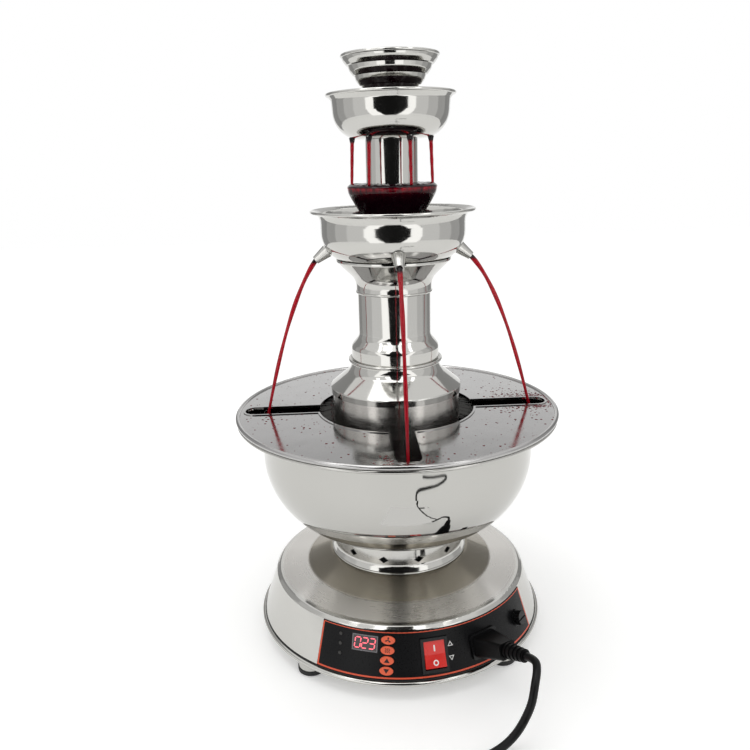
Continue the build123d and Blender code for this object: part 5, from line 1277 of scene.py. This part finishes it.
class FountainPoolsOperator(bpy.types.Operator):
    """Fills the bowls and the drip cup with drink"""

    bl_idname = "fountain.pools"
    bl_label = "Fill Bowls"

    def execute(self, context):
        settings = context.scene.fountain_drink
        # Deep red drink: nearly black, with a wet gloss
        deep = drink("deep_red_drink", settings.deep, 0.0, 0.05, gloss_level=0.2)
        levels = (settings.lower_level, settings.mid_level, settings.upper_level)
        for pool, level in zip(POOLS, levels):
            self.pool(*pool, level / MM, deep)
        self.brim(settings)
        return {"FINISHED"}

    def pool(self, name, body, bowl, inner, probe, level, finish):
        """A ring of drink with a gently rippled face, inside a bowl."""
        edge = solid_tree(bowl).ray_cast(around(probe, 90, level), Vector((1, 0, 0)))[0]
        if edge is None:
            raise RuntimeError(f"{name}: the bowl has no wall at that level")
        outer = edge.x / MM - POOL_GAP
        profile = [(inner + (outer - inner) * k / POOL_ROWS, level) for k in range(POOL_ROWS + 1)]

        def wobble(radius, azimuth):
            turn = math.radians(azimuth)
            calm = min(radius - inner, outer - radius, POOL_CALM) / POOL_CALM
            ripple = math.sin(0.55 * radius + 2 * math.sin(3 * turn)) * (0.6 + 0.4 * math.cos(5 * turn))
            return POOL_WAVE * calm * ripple

        build = bmesh.new()
        lathe(build, profile, POOL_STEPS, wobble)
        turn_faces(build, Vector((0, 0, 1)))
        put(name, from_bmesh(name, build), body, finish)

    def brim(self, settings):
        """Drink that stands over the rim of the drip cup and runs down its outside as a thin skin."""
        profile = [(radius, CUP_RIM_Z + rise) for radius, rise in BRIM]
        tree = solid_tree("drip_cup")
        for k in range(RUN_ROWS):
            height = CUP_RIM_Z - RUN_START - k * RUN_STEP
            wall = tree.ray_cast(around(BRIM_REACH, 90, height), Vector((-1, 0, 0)))[0]
            if wall is None:
                break
            skin = RUN_SKIN + RUN_SWELL * math.sin(math.pi * k / RUN_ROWS)
            profile.append((wall.x / MM + skin, height))
        profile.append((profile[-1][0] - RUN_TOE[0], profile[-1][1] - RUN_TOE[1]))

        def wobble(radius, azimuth):
            here = around(radius, azimuth, 0) / MM
            total = 0.0
            for drip in range(NOZZLE_COUNT):
                at = around(NOZZLE_CIRCLE, NOZZLE_AZIMUTH + 360 / NOZZLE_COUNT * drip, 0) / MM
                far = (here - at).length
                total += RING_HEIGHT * math.cos(RING_BEND * far) * math.exp(-far / RING_REACH)
            return total * min(max(RING_END - radius, 0.0), RING_FADE) / RING_FADE

        build = bmesh.new()
        lathe(build, profile[:BRIM_FLAT], BRIM_STEPS, wobble)
        lathe(build, profile[BRIM_FLAT - 1 :], BRIM_STEPS)
        bmesh.ops.remove_doubles(build, verts=build.verts[:], dist=0.00001)
        bmesh.ops.recalc_face_normals(build, faces=build.faces[:])
        top = max(build.faces, key=lambda face: face.calc_center_median().z)
        if top.normal.z < 0:
            bmesh.ops.reverse_faces(build, faces=build.faces[:])
        # Red drink running over steel: dark, with a bright broken band below the rim
        ends = (CUP_RIM_Z - RUN_BAND[0], CUP_RIM_Z + RUN_BAND[1])
        film = running_drink("running_red_drink", settings.deep, settings.thin, *ends)
        put("cup_drink", from_bmesh("cup_drink", build), "drip_tier", film)


class FountainSpecksOperator(bpy.types.Operator):
    """Scatters specks of drink over the splash plate"""

    bl_idname = "fountain.specks"
    bl_label = "Scatter Specks"

    def wetness(self, here, radius):
        """Specks to a square metre at a place on the plate, in millimetres."""
        across = min(abs(here.x), abs(here.y))
        if across < SLOT_HALF + SPLASH_MARGIN and radius < SLOT_END + SPLASH_MARGIN:
            return 0.0
        level = SPLASH_BETWEEN
        for turn, reach, amount, spread in SPLASHES:
            at = around(reach, turn, PLATE_TOP) / MM
            level += amount * math.exp(-(((here - at).length / spread) ** 2))
        return level

    def execute(self, context):
        settings = context.scene.fountain_drink
        build = bmesh.new()
        wet = build.verts.layers.float.new("wet")
        inner, outer = SPLASH_RADII
        grid = []
        for i in range(SPLASH_STEPS):
            row = []
            for k in range(SPLASH_ROWS + 1):
                radius = inner + (outer - inner) * k / SPLASH_ROWS
                vert = build.verts.new(around(radius, 360 * i / SPLASH_STEPS, PLATE_TOP))
                vert[wet] = self.wetness(vert.co / MM, radius)
                row.append(vert)
            grid.append(row)
        for near, far in zip(grid, grid[1:] + grid[:1]):
            for k in range(SPLASH_ROWS):
                build.faces.new((near[k], near[k + 1], far[k + 1], far[k]))
        bmesh.ops.recalc_face_normals(build, faces=build.faces[:])
        # Dried red drink: dull dark specks
        stain = drink("dried_red_drink", linear("#6A0E1A"), 0.0, 0.16)
        shape = from_bmesh("speck_ground", build)
        values = (settings.speck, settings.seed, stain)
        put("plate_specks", made_by(*speck_nodes(), "plate_specks", shape, values), "splash_plate")
        return {"FINISHED"}


class FountainStageOperator(bpy.types.Operator):
    """Sets the floor, the lights and what the steel mirrors"""

    bl_idname = "fountain.stage"
    bl_label = "Set Stage"

    def execute(self, context):
        stage = context.scene.fountain_stage
        self.floor(stage)
        self.air(context, stage)
        self.screens(stage)
        self.ceiling(context)
        return {"FINISHED"}

    def floor(self, stage):
        """A wide sheet under the object."""
        # Matte paper: white, with a faint tooth that is drawn coarser than the real 0.5 mm
        material, tree = blank("matte_paper_floor")
        place = add(tree, "ShaderNodeTexCoord").outputs["Object"]
        tooth = {"Vector": place, "Scale": 1 / (PAPER_GRAIN * MM), "Detail": 3.0}
        grain = add(tree, "ShaderNodeTexNoise", tooth).outputs[0]
        fade = shaded(stage.floor, 0.985)
        shade = add(tree, "ShaderNodeMix", {0: grain, 6: fade, 7: stage.floor}, data_type="RGBA")
        seen = {0: self.shown(tree), 1: stage.floor_lift}
        lift = add(tree, "ShaderNodeMath", seen, operation="MULTIPLY")
        shader = add(
            tree,
            "ShaderNodeBsdfPrincipled",
            {
                "Base Color": shade.outputs[2],
                "Roughness": 0.8,
                "Emission Color": WHITE,
                "Emission Strength": lift.outputs[0],
            },
        )
        add(tree, "ShaderNodeOutputMaterial", {"Surface": shader.outputs[0]})
        mesh = bpy.data.meshes.new("studio_floor")
        corners = block(-FLOOR_HALF, -FLOOR_HALF, FLOOR_HALF, FLOOR_HALF)
        mesh.from_pydata([(*corner, 0) for corner in corners], [], [(0, 1, 2, 3)])
        mesh.materials.append(material)
        piece = bpy.data.objects.new("studio_floor", mesh)
        bpy.context.scene.collection.objects.link(piece)

    def air(self, context, stage):
        """Even light from all round, which shows as white."""
        world = bpy.data.worlds.new("studio_air")
        context.scene.world = world
        world.use_nodes = True
        tree = world.node_tree
        tree.nodes.clear()
        seen = {"Value": self.shown(tree), "To Min": stage.air, "To Max": 1.0}
        level = add(tree, "ShaderNodeMapRange", seen).outputs[0]
        air = add(tree, "ShaderNodeBackground", {"Color": WHITE, "Strength": level})
        add(tree, "ShaderNodeOutputWorld", {"Surface": air.outputs[0]})

    def shown(self, tree):
        """One where the camera, a mirror or a clear piece shows what a ray meets, and nought elsewhere."""
        path = add(tree, "ShaderNodeLightPath").outputs
        direct = {0: path["Is Camera Ray"], 1: path["Is Glossy Ray"]}
        seen = add(tree, "ShaderNodeMath", direct, operation="MAXIMUM").outputs[0]
        clear = {0: seen, 1: path["Is Transmission Ray"]}
        return add(tree, "ShaderNodeMath", clear, operation="MAXIMUM").outputs[0]

    def screens(self, stage):
        """Screens, cards and a line round the object, for the steel to mirror; the cards paint a reflection
        of bare floor over the coil and the line paints the cord's reflection.
        """
        front = math.degrees(math.atan2(stage.place[0], -stage.place[1]))
        lights = (
            ("strip_light", 0, (10, 36), (34, 59), 1.0, 0.0, 0.9, stage.strip),
            ("high_strip", 0, (14, 28), (14, 28), 1.0, 0.9, 2.6, stage.high_strip),
            ("back_box", 180, (8, 15), (10, 19), 1.35, 1.5, 2.5, stage.box),
            ("side_box", 0, (44, 54), (66, 80), 0.62, 0.8, 1.7, stage.box),
        )
        for screen in FRONT_SCREENS:
            self.wall(front, 1, *screen)
        # Painted reflections: floor-bright cards over the coil, and a dark line for the cord
        for corners in PAINTED_FLOOR_COVERS:
            self.cover("painted_floor_reflection", corners)
        self.cord_reflection_line("painted_cord_reflection")
        for screen in BACK_SCREENS:
            self.wall(front, 1, *screen)
        for side in (-1, 1):
            for screen in (*lights, *SIDE_SCREENS):
                self.wall(front, side, *screen)

    def wall(self, front, side, name, middle, foot_ends, top_ends, radius, foot, top, brightness):
        """An upright curved screen round the object, on one side of it or mirrored to the other."""
        build = bmesh.new()
        rows = []
        for i in range(SCREEN_STEPS + 1):
            row = []
            for ends, height in ((foot_ends, foot), (top_ends, top)):
                turn = side * (ends[0] + (ends[1] - ends[0]) * i / SCREEN_STEPS)
                row.append(build.verts.new(around(radius / MM, front + middle + turn, height / MM)))
            rows.append(row)
        self.screen(name, build, rows, brightness)

    def cover(self, name, corners):
        """A flat card just above the table, between two corners in millimetres: a painted reflection of bare
        floor over the coil.
        """
        (left, front), (right, back) = corners
        build = bmesh.new()
        rows = []
        for x in (left, right):
            rows.append([build.verts.new(Vector((x, y, PAINTED_FLOOR_HEIGHT)) * MM) for y in (front, back)])
        self.screen(name, build, rows, PAINTED_FLOOR_LEVEL)

    def cord_reflection_line(self, name):
        """A smooth flat dark line above the table, wider where it is further from the object: the cord's
        painted reflection.
        """
        line = [Vector((*point, CORD_REFLECTION_HEIGHT)) for point in CORD_REFLECTION_LINE]
        for _ in range(3):
            cut = [line[0]]
            for near, far in zip(line, line[1:]):
                cut += [near.lerp(far, 0.25), near.lerp(far, 0.75)]
            line = cut + [line[-1]]
        build = bmesh.new()
        rows = []
        for i, place in enumerate(line):
            heading = line[min(i + 1, len(line) - 1)] - line[max(i - 1, 0)]
            half = CORD_REFLECTION_WIDTH / 2 * place.length / CORD_REFLECTION_NEAR
            side = Vector((-heading.y, heading.x, 0)).normalized() * half
            rows.append([build.verts.new((place - side) * MM), build.verts.new((place + side) * MM)])
        self.screen(name, build, rows, CORD_REFLECTION_LEVEL)

    def screen(self, name, build, rows, brightness):
        """A screen from rows of two points, which shows only in mirrors, at an even brightness."""
        join_rows(build, rows)
        piece = bpy.data.objects.new(name, from_bmesh(name, build))
        bpy.context.scene.collection.objects.link(piece)
        # Lit cloth: one even level and no shading
        material, tree = blank(piece.name + "_cloth")
        shader = add(tree, "ShaderNodeEmission", {"Color": WHITE, "Strength": brightness})
        add(tree, "ShaderNodeOutputMaterial", {"Surface": shader.outputs[0]})
        piece.data.materials.append(material)
        piece.visible_camera = False
        piece.visible_diffuse = False
        piece.visible_transmission = False
        piece.visible_shadow = False

    def ceiling(self, context):
        """A soft lamp above the object."""
        lamp = bpy.data.lights.new("ceiling_light", "AREA")
        lamp.shape = "RECTANGLE"
        lamp.size, lamp.size_y = CEILING_SIZE
        lamp.energy = CEILING_POWER
        piece = bpy.data.objects.new("ceiling_light", lamp)
        piece.location = CEILING_PLACE
        aim = Vector(CEILING_AIM) - Vector(CEILING_PLACE)
        piece.rotation_euler = aim.to_track_quat("-Z", "Y").to_euler()
        context.scene.collection.objects.link(piece)


OPERATORS = (
    FountainCameraOperator,
    FountainCordOperator,
    FountainSteelOperator,
    FountainInsideOperator,
    FountainTrimOperator,
    FountainPanelOperator,
    FountainDisplayOperator,
    FountainKeysOperator,
    FountainRockerOperator,
    FountainStreamsOperator,
    FountainPoolsOperator,
    FountainSpecksOperator,
    FountainStageOperator,
)


class FountainSidebarPanel(bpy.types.Panel):
    """Lists the steps and their settings in the sidebar"""

    bl_idname = "VIEW3D_PT_fountain"
    bl_label = "Drinks Fountain"
    bl_space_type = "VIEW_3D"
    bl_region_type = "UI"
    bl_category = "Fountain"

    def draw(self, context):
        layout = self.layout
        for operator in OPERATORS:
            layout.operator(operator.bl_idname)
        for name, group in GROUPS:
            box = layout.box()
            for setting in group.__annotations__:
                box.prop(getattr(context.scene, name), setting)


def register():
    for name, group in GROUPS:
        bpy.utils.register_class(group)
        setattr(bpy.types.Scene, name, bpy.props.PointerProperty(type=group))
    for operator in OPERATORS:
        bpy.utils.register_class(operator)
    bpy.utils.register_class(FountainSidebarPanel)


def unregister():
    bpy.utils.unregister_class(FountainSidebarPanel)
    for operator in reversed(OPERATORS):
        bpy.utils.unregister_class(operator)
    for name, group in reversed(GROUPS):
        delattr(bpy.types.Scene, name)
        bpy.utils.unregister_class(group)


def main():
    register()
    bpy.ops.fountain.camera()
    bpy.ops.fountain.cord()
    bpy.ops.fountain.steel()
    bpy.ops.fountain.inside()
    bpy.ops.fountain.trim()
    bpy.ops.fountain.panel()
    bpy.ops.fountain.display()
    bpy.ops.fountain.keys()
    bpy.ops.fountain.rocker()
    bpy.ops.fountain.streams()
    bpy.ops.fountain.pools()
    bpy.ops.fountain.specks()
    bpy.ops.fountain.stage()


if __name__ == "__main__":
    main()
